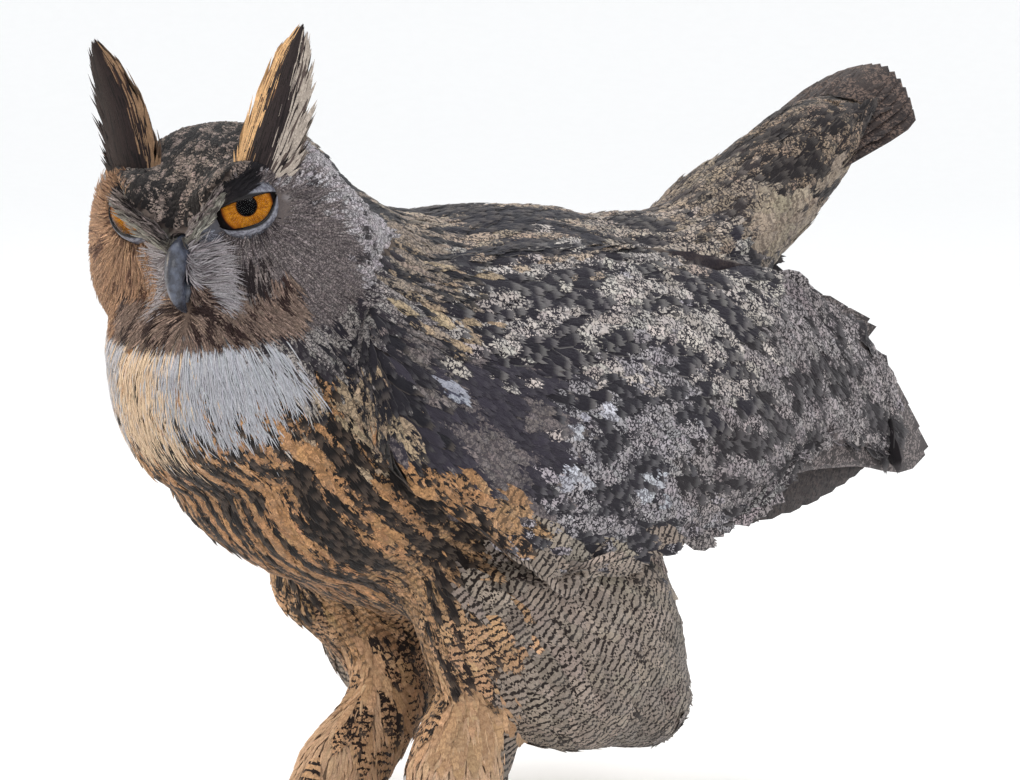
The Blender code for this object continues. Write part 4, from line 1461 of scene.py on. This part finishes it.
def node_tree(node):
    """A CAD node as a surface that lines can be dropped on."""
    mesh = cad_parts[node].data
    mesh.calc_loop_triangles()
    co, _ = mesh_arrays(mesh)
    tri = [tuple(t.vertices) for t in mesh.loop_triangles]
    return BVHTree.FromPolygons(co.tolist(), tri)


def along_curve(rows, share):
    """The row at that share of the way through evenly spaced rows."""
    rows = np.asarray(rows, dtype=float)
    at = np.linspace(0, 1, len(rows))
    return np.array([np.interp(share, at, rows[:, k]) for k in range(rows.shape[1])])


SECONDARY_ROOTS = ((48, 282), (30, 270), (20, 255), (15, 230), (12, 205), (12, 188))
SECONDARY_TIPS = ((128, 278), (166, 262), (203, 241), (238, 206), (262, 178), (240, 188),
                  (208, 197), (170, 205))
PRIMARY_ROOTS = ((10, 212), (5, 200), (0, 185), (-5, 172))
PRIMARY_TIPS = ((216, 190), (207, 185), (196, 180), (180, 175), (158, 170), (130, 166), (100, 166))


def quill_paths(roots, tips, count, sag, trees, lift_from, lift_to):
    """Spines and directions of a row of flight feathers on the left wing."""
    paths, normals = [], []
    for i in range(count):
        t = i / (count - 1)
        root, tip = along_curve(roots, t), along_curve(tips, t)
        points, facing = [], []
        for share in QUILL["shares"]:
            y, z = root + (tip - root) * share
            z += sag * math.sin(math.pi * share)
            p, n = wing_side(y, z, trees, lift_from + (lift_to - lift_from) * t)
            points.append(p)
            facing.append(n)
        paths.append(points)
        normals.append(facing)
    paths, normals = np.array(paths), unit(np.array(normals))
    for _ in range(2):
        paths[:, 1:-1] = (paths[:, :-2] + 2 * paths[:, 1:-1] + paths[:, 2:]) / 4
        normals[:, 1:-1] = unit(normals[:, :-2] + 2 * normals[:, 1:-1] + normals[:, 2:])
    return paths, normals


def to_right(points, normals):
    """The right wing's tip is held a little higher and further in."""
    points, normals = points.copy(), normals.copy()
    points[..., 0] *= -1
    normals[..., 0] *= -1
    share = np.maximum(0, points[..., 1] / MM + ROW_SHIFT) / 292
    points += np.array((22, 26, 72)) * MM * (share ** 2.2)[..., None]
    return points, normals


def quill_block(paths, normals, half_width, colours, uv_row, rng):
    """A block of long feathers on the given spines."""
    count, steps = paths.shape[:2]
    half = np.asarray(half_width)[:, None] * MM * np.array(QUILL["half"])[None]
    thick = np.full((count, steps), QUILL["thick"] * MM)
    ground, mark, streak, bars, barred, mottled, fringe = colours
    light = np.exp(rng.normal(0, .08, count))[:, None]
    uv = np.stack((np.linspace(.02, .98, count), np.full(count, uv_row)), 1)
    return dict(spine=paths, facing=normals, half=half, thick=thick, droop=QUILL["droop"],
                ring=4, shares=np.array(QUILL["shares"]), uv=uv,
                ground=np.column_stack((np.array(tone(*ground)) * light, np.ones(count))),
                mark=np.column_stack((np.tile(tone(*mark), (count, 1)), np.full(count, streak))),
                figure=np.tile((barred, mottled, 0, fringe), (count, 1)),
                kinds=np.zeros(count, dtype=int), seed=np.zeros(count),
                cycles=np.array(QUILL["shares"])[None] * bars + rng.random(count)[:, None] * .3)


def flight_feathers(side_name):
    """The primaries and secondaries of one wing."""
    rng = np.random.default_rng(SEED + 11)
    wing = [node_tree("secondaries_left"), node_tree("wing_left")]
    tips = [node_tree("primaries_left"), wing[0], wing[1]]
    blocks = []
    rows = (
        (PRIMARY_ROOTS, PRIMARY_TIPS, 10, 4, tips, -1.0, -5.0, 12,
         ((60, 51, 49), (22, 18, 20), .42, 7, .5, .4, .05)),
        (SECONDARY_ROOTS, SECONDARY_TIPS, 16, 5, wing, -0.4, -4.0, 17,
         ((120, 110, 108), (24, 19, 22), .26, 8, .8, .9, .10)),
    )
    for n, (roots, ends, count, sag, trees, first, last, half, colours) in enumerate(rows):
        paths, normals = quill_paths(roots, ends, count, sag, trees, first, last)
        if side_name == "right":
            paths, normals = to_right(paths, normals)
        made = quill_block(paths, normals, np.full(count, half), colours, .1 + .2 * n, rng)
        blocks += [made, barbs_of(made, LANES, QUILL_ENDS, rng, .08)]
    return coat_object("flight_feathers_" + side_name, blocks)


TAIL_ROOT, TAIL_TIP = np.array((0, 132, 319.)), np.array((2, 292, 404.))
TAIL_ROLL = 18


def tail_feathers():
    """Twelve tail feathers fanned one over the other."""
    rng = np.random.default_rng(SEED + 23)
    root, tip = TAIL_ROOT - (0, ROW_SHIFT, 0), TAIL_TIP - (0, ROW_SHIFT, 0)
    ahead = unit(tip - root)
    flat = unit(np.array((1.0, 0, 0)) - ahead * ahead[0])
    tall = np.cross(flat, ahead)
    roll = math.radians(TAIL_ROLL)
    flat, tall = (flat * math.cos(roll) - tall * math.sin(roll),
                  tall * math.cos(roll) + flat * math.sin(roll))
    length = np.linalg.norm(tip - root)
    paths, normals = [], []
    order = sorted(range(12), key=lambda i: -abs(i - 5.5))
    for rank, i in enumerate(order):
        u = (i - 5.5) / 5.5 * 0.86
        points, facing = [], []
        for share in QUILL["shares"]:
            run = -0.12 + 1.12 * share
            half = (46 + 26 * max(run, 0) ** 0.7) / 2
            reach = length * run - 18 * max(run, 0) ** 4 * u * u
            spread = u * (0.45 + 0.55 * share)
            rise = -12 * u * u * max(run, 0) + (rank / 11 - 0.5) * 4.2
            points.append((root + ahead * reach + flat * half * spread + tall * rise) * MM)
            facing.append(unit(tall + flat * 0.25 * u * share))
        paths.append(points)
        normals.append(facing)
    colours = ((94, 78, 70), (24, 17, 19), .38, 9, .8, .9, .05)
    made = quill_block(np.array(paths), np.array(normals), np.full(12, 12.5), colours, .5, rng)
    return coat_object("tail_feathers", [made, barbs_of(made, LANES, QUILL_ENDS, rng, .08)])


def hair_block(paths, normals, half, fullness, ground, mark, figure, rng):
    """A block of loose hairs; fullness is their thickness as a share of their half-width."""
    shares = np.array(HAIR["shares"])
    half = np.array(half)[:, None] * np.array(HAIR["half"])[None]
    return dict(spine=np.array(paths), facing=np.array(normals), half=half,
                thick=half * fullness, droop=HAIR["droop"], ring=HAIR["ring"], shares=shares,
                uv=rng.random((len(half), 2)) * .8 + .1, ground=ground, mark=mark,
                figure=figure, cycles=np.tile(shares * 3, (len(half), 1)))


TUFT_PATH = ((35, 27, 30, 13, 9), (40, 20, 44, 14, 9), (46, 11, 66, 12.5, 7),
             (51.5, 5, 85, 8.5, 4.5), (57.5, 0, 101, 1.5, 1.2))
TUFT_SHIFT = {"left": 1.5, "right": -6.5}
TUFT_LEAN = {"left": 8, "right": 5}
TUFT_STRANDS = 1300


def ear_tuft(side_name):
    """Fine strands that lean together to a point, with a frayed outer edge."""
    rng = np.random.default_rng(SEED + 31)
    side = SIDES[side_name]
    shift, lean = TUFT_SHIFT[side_name], TUFT_LEAN[side_name]
    rows = [(side * (s + shift * min(1, up / 66) + lean * max(0, up - 40) / 59),
             ahead, up, wide, deep) for s, ahead, up, wide, deep in TUFT_PATH]
    shares = np.array(HAIR["shares"])
    paths, normals, half, ground, mark = [], [], [], [], []
    for _ in range(TUFT_STRANDS):
        start = rng.random() ** 1.15 * 0.82
        lane, layer = rng.uniform(-1, 1) * (1 + .06 * rng.normal()), rng.uniform(-1, 1)
        end = min(1.0 - .22 * abs(lane) * rng.random(), start + 0.16 + 0.16 * rng.random())
        start = min(start, end - .12)
        points, facing = [], []
        for share in shares:
            at = start + (end - start) * share
            row, ahead_row = along_curve(rows, at), along_curve(rows, min(1, at + .05))
            way = unit(ahead_row[:3] - row[:3] + np.array((0, 0, 1e-3)))
            flat = unit(np.cross((0, 1.0, 0), way)) * side
            shell = math.sqrt(max(0.05, 1 - lane * lane)) * np.sign(layer + .01)
            fray = flat * lane ** 3 * share * (9.0 if lane > 0 else 3.0) * (1.1 - start)
            place = row[:3] + flat * row[3] * lane * 0.86 + fray
            points.append(from_head(place + np.array((0, 1, 0)) * row[4] * shell * 0.9))
            facing.append(unit(np.array((0.8 * side * lane, np.sign(layer + .01), .1))
                               @ HEAD_TURN))
        paths.append(points)
        normals.append(facing)
        half.append((1.15 - 0.4 * start) * MM)
        zone = lane + rng.normal(0, .16)
        if side_name == "left":
            colour, shade = (((226, 184, 134), (112, 80, 54)) if zone < -.5 else
                             ((186, 174, 162), (84, 72, 68)) if zone > .58 else
                             ((50, 41, 41), (24, 18, 20)))
        else:
            colour, shade = (((150, 120, 92), (74, 52, 40)) if zone < -.78 else
                             ((44, 33, 32), (22, 17, 18)))
        ground.append((*tone(*colour), 1.0))
        mark.append((*tone(*shade), -1.0 if rng.random() < .75 else 1.0))
    return hair_block(paths, normals, half, .5, np.array(ground), np.array(mark),
                      np.tile((.3, .3, 0, 0), (TUFT_STRANDS, 1)), rng)


LID_HAIRS = 2000
BROW_HAIRS = 1200


def bristles():
    """Fine hairs that spring from round the bill's root over its sides and the gape."""
    rng = np.random.default_rng(SEED + 41)
    shares = np.array(HAIR["shares"])
    # kind, count, root from and to, way and its scatter, length, half-width
    sets = (
        ("bristle", 300, (5.0, 59, 7), (5.5, 60, -12), (.80, .30, .38), .22, 15, .34),
        ("bristle", 160, (4.5, 60, 5), (5.0, 63, -8), (.45, .60, -.30), .20, 11, .32),
        ("brow", 150, (1.0, 57, 12), (6.0, 56, 10), (.15, .45, -.75), .18, 6, .45),
        ("chin", 260, (5.5, 60, -9), (1.0, 62, -15), (.45, .35, -.80), .22, 14, .42),
    )
    paths, normals, half, kinds = [], [], [], []

    def add(points, facing, wide, name):
        paths.append(from_head(np.array(points)))
        normals.append(np.tile(unit(np.array(facing) @ HEAD_TURN), (len(shares), 1)))
        half.append(wide * MM)
        kinds.append(KIND_AT[name])

    for name, count, start, end, way, scatter, length, wide in sets:
        for i in range(count):
            side = 1 if i % 2 else -1
            share = rng.random()
            root = np.array(start) * (1 - share) + np.array(end) * share + rng.normal(0, .7, 3)
            root[0] = abs(root[0])
            lead = unit(np.array(way) + rng.normal(0, scatter, 3))
            sag = np.array((0.10, -0.42, -0.10))
            reach = length * rng.uniform(.8, 1.15)
            points = [(root + lead * reach * t + sag * reach * t * t) * (side, 1, 1)
                      for t in shares]
            add(points, (.35 * side, .9, .15), wide, name)
    for i in range(BROW_HAIRS):
        side = -1 if i % 3 else 1
        share, above = rng.random(), rng.normal(0, 2.2)
        root = np.array((-5, 58, 11)) * (1 - share) + np.array((-27, 54, 31)) * share
        root = root + (0, rng.uniform(-1, 7 if side < 0 else 2.5), above)
        lead = unit(np.array((-.74, .12, .65)) + rng.normal(0, .13, 3))
        points = np.array([root + lead * 8 * t for t in shares]) * (-side, 1, 1)
        add(points, (.3 * side, .9, .1), .5, "brow" if above < .4 else "dark_hair")
    for side_name, side in SIDES.items():
        centre, out, up, gaze = gaze_axes(side_name)
        for _ in range(LID_HAIRS):
            x, y = rng.uniform(-21, 21), rng.uniform(-19, 19)
            top = np.interp(x, (-17, -12, 0, 8, 16), (0, 2.7, 5.3, 5.6, 3.8))
            pale = x > 0 and y < top + 4.5 - abs(x - 9) * .3
            above = y > top + .6 and not pale
            below = y < np.interp(x, (-17, -8, 4, 12, 17), (-7, -14, -13.5, -10, -5))
            radius = math.hypot(x, y)
            if radius > 21 or not (above or below or radius > 19.5):
                continue
            tall = float(lid_height(np.array(radius)))
            place = centre + x * out + y * up + (tall + 1.9) * gaze
            lean = np.array((1.0, .45)) if above else np.array((x, y)) / radius
            lead = unit(out * lean[0] + up * lean[1] + rng.normal(0, .16, 3) - gaze * .12)
            reach = 6.5 * rng.uniform(.8, 1.2)
            points = [place + lead * reach * t - gaze * 1.4 * t * t for t in shares]
            dark = above and x < 9 - .5 * (y - top)
            # Round the far eye the pale lid hairs take the disc's colour with warm light painted
            # in.
            add(points, gaze, .42, "soot" if dark else "disc" if side > 0 else "disc_warm")
    ground, mark, figure = paint_rows(np.array(kinds), rng)
    mark[:, 3] = np.where(rng.random(len(kinds)) < .3, 1, -1)
    return hair_block(paths, normals, half, .6, ground, mark, figure, rng)


# --- eyes, lids, bill and claws ---

def ring_round(centre, out, up, radius, sides):
    """Evenly spaced points round a centre."""
    angle = np.arange(sides) / sides * math.tau
    return centre + radius * (np.cos(angle)[:, None] * out + np.sin(angle)[:, None] * up)


def store(obj, name, values, kind="FLOAT"):
    """Keeps one value for each of the mesh's points."""
    held = obj.data.attributes.new(name, kind, "POINT")
    values = np.asarray(values, dtype=float)
    held.data.foreach_set("value" if kind == "FLOAT" else "vector", values.ravel())


def store_along(obj, points, spine):
    """Keeps how far along the spine's rows each point lies, from 0 to 1."""
    gap = np.linalg.norm(points[:, None] - spine[None], axis=2)
    store(obj, "along", np.argmin(gap, axis=1) / (len(spine) - 1))


def smoothed(obj, angle):
    """Shades smooth but for edges sharper than the angle, in degrees."""
    make_active(obj)
    bpy.ops.object.shade_smooth_by_angle(angle=math.radians(angle))


EYE_PROFILE = [(EYE_RADIUS * math.sin(a), -EYE_RADIUS * math.cos(a))
               for a in np.linspace(.06, 2.33, 30)] + [
    (12.7, 12.25), (11.6, 11.75), (10.2, 11.35), (8.6, 11.1), (7.0, 10.95), (5.7, 10.9),
    (5.3, 10.75), (5.1, 9.8), (4.4, 8.0), (2.0, 6.8)]
CORNEA_PROFILE = [(12.0, 9.6), (13.1, 10.2)] + [
    (CORNEA_RADIUS * math.sin(a), CORNEA_AHEAD + CORNEA_RADIUS * math.cos(a))
    for a in np.linspace(1.10, .05, 18)]


def eye_piece(side_name, profile, name):
    """A turned piece of the eye from radii and depths along the gaze."""
    centre, out, up, gaze = gaze_axes(side_name)
    rings = [from_head(ring_round(centre + gaze * depth, out, up, radius, 56))
             for radius, depth in profile]
    obj = drawn_out(name, rings)
    local = to_head(mesh_arrays(obj.data)[0]) - centre
    x, y, z = local @ out, local @ up, local @ gaze
    radius = np.hypot(x, y)
    store(obj, "radial", np.where(z > 0, radius / EYE_RADIUS, 1.0))
    turn = np.stack((x, y), 1) / np.maximum(radius, .01)[:, None]
    store(obj, "ray", np.column_stack((turn, radius * .04)), "FLOAT_VECTOR")
    smoothed(obj, 35)
    return obj


LID_OPENING = ((-17.4, -2.4), (-14.5, -8.0), (-6.8, -10.2), (3.8, -9.7), (9.9, -6.4),
               (14.4, .0), (15.8, 2.9), (8.5, 4.5), (-.9, 4.5), (-8, 3.5), (-14.5, .9))


LID_EDGE = 17.6                # distance from the eye's axis where the lids leave the eyeball


def eye_height(radius):
    """How far ahead of its centre the eye reaches at that distance from its axis."""
    ball = np.sqrt(np.maximum(EYE_RADIUS ** 2 - radius ** 2, 0))
    dome = CORNEA_AHEAD + np.sqrt(np.maximum(CORNEA_RADIUS ** 2 - radius ** 2, 0))
    return np.maximum(ball, np.where(radius < CORNEA_RADIUS - .1, dome, 0))


def lid_height(radius):
    """The same, carried on past the eye's edge by a slope."""
    return np.where(radius < LID_EDGE, eye_height(np.minimum(radius, LID_EDGE)),
                    3.8 - (radius - LID_EDGE) * 0.55)


def lids(side_name):
    """A ring of bare skin from the wet rim of the opening out under the face feathers."""
    centre, out, up, gaze = gaze_axes(side_name)
    curve = smooth_rows(LID_OPENING + LID_OPENING[:1], 6)[:-1]
    angle = np.arctan2(curve[:, 1] + 1, curve[:, 0])
    outer = np.stack((np.cos(angle) * 22.0, np.sin(angle) * 19.5 - 0.5), 1)
    rows, rims = [], []
    for share, lift in ((-0.06, -.5), (0, .5), (.07, 1.25), (.2, 1.35), (.4, 1.0), (.65, .6),
                        (1.0, -1.5)):
        flat = curve + (outer - curve) * share
        radius = np.hypot(flat[:, 0], flat[:, 1])
        height = (lid_height(radius) + lift)[:, None]
        place = centre + flat[:, :1] * out + flat[:, 1:] * up + height * gaze
        rows.append(from_head(place))
        rims.append(max(share, 0))
    mesh = bpy.data.meshes.new("lids_" + side_name)
    count = len(curve)
    faces = [(r * count + i, r * count + (i + 1) % count, (r + 1) * count + (i + 1) % count,
              (r + 1) * count + i) for r in range(len(rows) - 1) for i in range(count)]
    mesh.from_pydata(np.concatenate(rows).tolist(), [], faces)
    obj = placed("lids_" + side_name, mesh)
    store(obj, "rim", np.repeat(rims, count))
    soot = np.clip((5 - curve[:, 0]) / 6, 0, 1) * np.clip(curve[:, 1] / 2, 0, 1)
    soot = np.maximum(soot, np.clip((-13 - curve[:, 0]) / 3, 0, 1))
    store(obj, "soot", np.tile(soot, len(rows)))
    edited(obj, bpy.ops.mesh.normals_make_consistent, inside=False)
    if obj.data.polygons[count * 3].normal.dot(Vector(gaze @ HEAD_TURN)) < 0:
        edited(obj, bpy.ops.mesh.flip_normals)
    modified(obj, "wall", "SOLIDIFY", thickness=0.9 * MM, offset=-1)
    finish_modifiers(obj)
    smoothed(obj, 60)
    return obj


BILL_PATH = ((46, 4, 8, 8.5), (62, 4, 6, 7), (69.5, -3, 5.2, 6.0),
             (72, -12, 4.1, 4.7), (70.3, -19, 2.6, 3.1), (67.2, -24, 0.8, 1))
JAW_PATH = ((46, -10, 7, 4), (59, -11.5, 5.6, 3.6), (64, -15, 4.2, 2.8), (66, -19.5, 1.8, 1.4))


def horn(name, path, ridge, steps=6, sides=24):
    """A curved horn form with a ridge, in the head's frame."""
    rows = smooth_rows(path, steps)
    rings = []
    for i, (ahead, up, wide, deep) in enumerate(rows):
        before, after = rows[max(i - 1, 0)], rows[min(i + 1, len(rows) - 1)]
        way = unit(np.array((0, after[0] - before[0], after[1] - before[1])))
        tall = np.array((0, -way[2], way[1]))
        angle = np.arange(sides) / sides * math.tau
        narrow = 1 - ridge * np.maximum(0, np.sin(angle)) ** 1.5
        x = wide * np.cos(angle) * narrow
        y = deep * np.sin(angle)
        rings.append(from_head(np.array((0, ahead, up)) + x[:, None] * np.array((1.0, 0, 0))
                               + y[:, None] * tall))
    obj = drawn_out(name, rings)
    store_along(obj, to_head(mesh_arrays(obj.data)[0])[:, 1:], rows[:, :2])
    smoothed(obj, 60)
    return obj


FOOT_CENTRE = np.array((38, -82 - ROW_SHIFT, 0))
FOOT_BALL = 19
FOOT_STEP = {"left": 0, "right": -FOOT_AHEAD}
TOES = (("inner", 14, 48), ("middle", -16, 54), ("outer", -132, 42), ("hind", 168, 34))
CLAW_LENGTH, CLAW_RADIUS, CLAW_GAP = 30, 4.2, 2.2
CLAW_STEPS, CLAW_SIDES = 14, 16


def claw(kind, heading, length, side_name):
    """A talon that arches over from the toe's end and rests its point on the floor."""
    side = SIDES[side_name]
    turn = math.radians(heading)
    way = np.array((-side * math.sin(turn), -math.cos(turn), 0))
    across = np.cross(way, (0, 0, 1))
    foot = FOOT_CENTRE * (side, 1, 1) + (0, FOOT_STEP[side_name], 0)
    start = foot + way * (length + FOOT_BALL * 0.4 + CLAW_GAP)
    rings, spots = [], []
    for share in np.linspace(0, 1, CLAW_STEPS + 1):
        ahead = CLAW_LENGTH * math.sin(share * math.radians(74)) * 0.9
        height = 8.2 + 4 * math.sin(share * math.pi) - 7.9 * share ** 1.6
        size = CLAW_RADIUS * (1 - share) ** 0.7 + 0.55
        spots.append((start + way * ahead + np.array((0, 0, height)), size))
    for i, (spot, size) in enumerate(spots):
        run = unit(spots[min(i + 1, CLAW_STEPS)][0] - spots[max(i - 1, 0)][0])
        tall = unit(np.cross(across, run))
        tall = tall if tall[2] > 0 else -tall
        angle = np.arange(CLAW_SIDES) / CLAW_SIDES * math.tau
        under = np.where(np.sin(angle) < 0, .82, 1.0)
        ring = (spot + across * (size * .82 * np.cos(angle))[:, None]
                + tall * (size * np.sin(angle) * under)[:, None])
        ring[:, 2] = np.maximum(ring[:, 2], 0.0)
        rings.append(ring * MM)
    obj = drawn_out(f"talon_{kind}_{side_name}", rings)
    store_along(obj, mesh_arrays(obj.data)[0] / MM, np.array([spot for spot, _ in spots]))
    smoothed(obj, 50)
    return obj


# --- operators ---

class OwlSizes(bpy.types.PropertyGroup):
    """Sizes that a user may change before building."""

    skin_grain: bpy.props.FloatProperty(
        name="Skin grain", description="Size of the skin's faces", default=3.1 * MM,
        min=2 * MM, max=6 * MM, unit="LENGTH")
    floor: bpy.props.FloatProperty(
        name="Floor radius", description="Reach of the floor round the owl", default=9.0,
        min=2.0, unit="LENGTH")


def colour_property(name, description, shade):
    return bpy.props.FloatVectorProperty(
        name=name, description=description, subtype="COLOR", size=3, min=0, max=1,
        default=tone(*shade))


class OwlColours(bpy.types.PropertyGroup):
    """Colours that a user may change before building."""

    iris: colour_property("Iris", "Colour of the iris's lighter rays", (200, 134, 32))
    bill: colour_property("Bill", "Colour of the bill's paler horn", (84, 90, 106))
    claw: colour_property("Claws", "Colour of the claws towards their points", (28, 23, 22))
    lid: colour_property("Lids", "Colour of the paler lid skin", (142, 143, 152))
    floor: colour_property("Floor", "Colour of the floor round the owl", (249, 249, 249))


def chosen(name):
    """A colour from the scene's own settings, with full cover."""
    return (*getattr(bpy.context.scene.owl_colours, name), 1.0)


class OWL_OT_skin(bpy.types.Operator):
    """Melts the flesh forms into one skin that lies inside the coat"""
    bl_idname = "owl.skin"
    bl_label = "Skin"

    def execute(self, context):
        skin = build_skin()
        cut_wing_core(skin)
        unwrap(skin)
        dress(skin, "skin", skin_material)
        smoothed(skin, 60)
        rest_on_body(skin, "plumage", *FLESH)
        return {"FINISHED"}


class OWL_OT_coat(bpy.types.Operator):
    """Lays the small feathers over the skin"""
    bl_idname = "owl.coat"
    bl_label = "Coat"

    def execute(self, context):
        coat_pieces()
        return {"FINISHED"}


class OWL_OT_flight(bpy.types.Operator):
    """Makes the flight feathers of both wings"""
    bl_idname = "owl.flight_feathers"
    bl_label = "Flight feathers"

    def execute(self, context):
        for side_name in SIDES:
            rest_on_body(flight_feathers(side_name), "wing_plumage",
                         "secondaries_" + side_name, "primaries_" + side_name)
        return {"FINISHED"}


class OWL_OT_tail(bpy.types.Operator):
    """Makes the twelve tail feathers"""
    bl_idname = "owl.tail"
    bl_label = "Tail"

    def execute(self, context):
        rest_on_body(tail_feathers(), "wing_plumage", "tail")
        return {"FINISHED"}


class OWL_OT_tufts(bpy.types.Operator):
    """Makes the ear tufts"""
    bl_idname = "owl.ear_tufts"
    bl_label = "Ear tufts"

    def execute(self, context):
        for side_name in SIDES:
            obj = coat_object("tuft_" + side_name, [ear_tuft(side_name)])
            rest_on_body(obj, "tuft_plumage", "ear_tuft_" + side_name)
        return {"FINISHED"}


class OWL_OT_eyes(bpy.types.Operator):
    """Makes the glass eyes and the lids round them"""
    bl_idname = "owl.eyes"
    bl_label = "Eyes"

    def execute(self, context):
        for side_name in SIDES:
            ball = eye_piece(side_name, EYE_PROFILE, "eyeball_" + side_name)
            dress(ball, "iris", iris_material)
            rest_on_body(ball, "eye", "eye_" + side_name)
            dome = eye_piece(side_name, CORNEA_PROFILE, "cornea_" + side_name)
            dress(dome, "cornea", cornea_material)
            rest_on_body(dome, "eye")
            lid = lids(side_name)
            dress(lid, "lid", lid_material)
            rest_on_body(lid, "plumage")
        return {"FINISHED"}


class OWL_OT_bill(bpy.types.Operator):
    """Makes the bill"""
    bl_idname = "owl.bill"
    bl_label = "Bill"

    def execute(self, context):
        upper = horn("bill_top", BILL_PATH, 0.35)
        lower = horn("bill_under", JAW_PATH, 0.1)
        for obj, node in ((upper, "bill_upper"), (lower, "bill_lower")):
            dress(obj, "bill_horn", bill_material)
            rest_on_body(obj, "bill", node)
        rest_on_body(coat_object("bristles", [bristles()]), "plumage")
        return {"FINISHED"}


class OWL_OT_claws(bpy.types.Operator):
    """Makes the eight claws"""
    bl_idname = "owl.claws"
    bl_label = "Claws"

    def execute(self, context):
        for side_name in SIDES:
            for kind, heading, length in TOES:
                obj = claw(kind, heading, length, side_name)
                dress(obj, "claw_horn", claw_material)
                rest_on_body(obj, "claw", f"claw_{kind}_{side_name}")
        return {"FINISHED"}


CAMERA_AZIMUTH, CAMERA_ELEVATION, CAMERA_DISTANCE = 48, 6, 2.5
CAMERA_TARGET = Vector((0, -0.0298, 0.235))
CAMERA_LENS = 4587 * 36 / 1020
FLOOR_FLAT, FLOOR_RISE, FLOOR_STEPS = .6, .4, 8      # shares of the radius; rings of the rise
LIGHT_AIM = Vector((0, -0.05, 0.25))
# name, place, size, power and colour
LIGHTS = (("key", (-1.9, -1.9, 1.3), 1.2, 38, (1.0, 0.82, 0.60)),
          ("fill", (2.4, -1.1, 1.6), 0.9, 14, (0.97, 0.98, 1.0)),
          ("top", (0.2, 0.8, 2.8), 1.6, 26, (0.95, 0.97, 1.0)))


def aimed(name, data, place, way):
    """Puts a lamp or camera at its place, looking the given way."""
    holder = placed(name, data)
    holder.location = place
    holder.rotation_mode = "QUATERNION"
    holder.rotation_quaternion = way.to_track_quat("-Z", "Y")
    return holder


def rising_floor(radius):
    """A round floor whose rim curves up like a bowl's."""
    nothing_selected()
    flat, rise = radius * FLOOR_FLAT, radius * FLOOR_RISE
    bpy.ops.mesh.primitive_circle_add(vertices=96, radius=flat, fill_type="NGON")
    floor = bpy.context.object
    floor.name = "floor"
    bpy.ops.object.mode_set(mode="EDIT")
    for step in range(1, FLOOR_STEPS + 1):
        bpy.ops.mesh.extrude_region_move(TRANSFORM_OT_translate={"value": (0, 0, 0)})
        before, after = (k / FLOOR_STEPS * math.pi / 2 for k in (step - 1, step))
        grow = (flat + rise * math.sin(after)) / (flat + rise * math.sin(before))
        bpy.ops.transform.resize(value=(grow, grow, 1))
        bpy.ops.transform.translate(
            value=(0, 0, rise * (math.cos(before) - math.cos(after))))
    bpy.ops.mesh.delete(type="ONLY_FACE")
    bpy.ops.mesh.select_all(action="SELECT")
    bpy.ops.object.mode_set(mode="OBJECT")
    dress(floor, "floor", floor_material)
    bpy.ops.object.shade_smooth()
    return floor


def light_all():
    """Lights the stage softly, with the warm key light to the left."""
    world = bpy.data.worlds.new("studio")
    bpy.context.scene.world = world
    world.use_nodes = True
    back = world.node_tree.nodes["Background"]
    back.inputs[0].default_value = (0.97, 0.985, 1.0, 1)
    back.inputs[1].default_value = 1.04
    bpy.context.scene.view_settings.view_transform = "Standard"
    for name, place, size, power, colour in LIGHTS:
        light = bpy.data.lights.new(name, "AREA")
        light.shape = "DISK"
        light.size = size
        light.energy = power
        light.color = colour
        aimed(name, light, place, LIGHT_AIM - Vector(place))


class OWL_OT_stage(bpy.types.Operator):
    """Sets the floor, the lights and the camera"""
    bl_idname = "owl.stage"
    bl_label = "Stage"

    def execute(self, context):
        rising_floor(context.scene.owl_sizes.floor)
        light_all()
        camera = bpy.data.cameras.new("camera")
        camera.lens = CAMERA_LENS
        camera.sensor_width = 36
        camera.clip_end = 100
        a, e = math.radians(CAMERA_AZIMUTH), math.radians(CAMERA_ELEVATION)
        back = Vector((math.sin(a) * math.cos(e), -math.cos(a) * math.cos(e), math.sin(e)))
        context.scene.camera = aimed("camera", camera,
                                     CAMERA_TARGET + back * CAMERA_DISTANCE, -back)
        return {"FINISHED"}


STEPS = (OWL_OT_skin, OWL_OT_coat, OWL_OT_flight, OWL_OT_tail, OWL_OT_tufts, OWL_OT_eyes,
         OWL_OT_bill, OWL_OT_claws, OWL_OT_stage)


class OWL_PT_panel(bpy.types.Panel):
    """Lists the steps that build the owl"""
    bl_label = "Mounted Eagle Owl"
    bl_idname = "OWL_PT_panel"
    bl_space_type = "VIEW_3D"
    bl_region_type = "UI"
    bl_category = "Owl"

    def draw(self, context):
        sizes = context.scene.owl_sizes
        self.layout.prop(sizes, "skin_grain")
        self.layout.prop(sizes, "floor")
        for name in ("iris", "bill", "claw", "lid", "floor"):
            self.layout.prop(context.scene.owl_colours, name)
        for step in STEPS:
            self.layout.operator(step.bl_idname)


def register():
    for part in (OwlSizes, OwlColours, *STEPS, OWL_PT_panel):
        bpy.utils.register_class(part)
    bpy.types.Scene.owl_sizes = bpy.props.PointerProperty(type=OwlSizes)
    bpy.types.Scene.owl_colours = bpy.props.PointerProperty(type=OwlColours)


def unregister():
    del bpy.types.Scene.owl_colours
    del bpy.types.Scene.owl_sizes
    for part in (OWL_PT_panel, *reversed(STEPS), OwlColours, OwlSizes):
        bpy.utils.unregister_class(part)


def main():
    register()
    for step in STEPS:
        group, name = step.bl_idname.split(".")
        getattr(getattr(bpy.ops, group), name)()


if __name__ == "__main__":
    main()
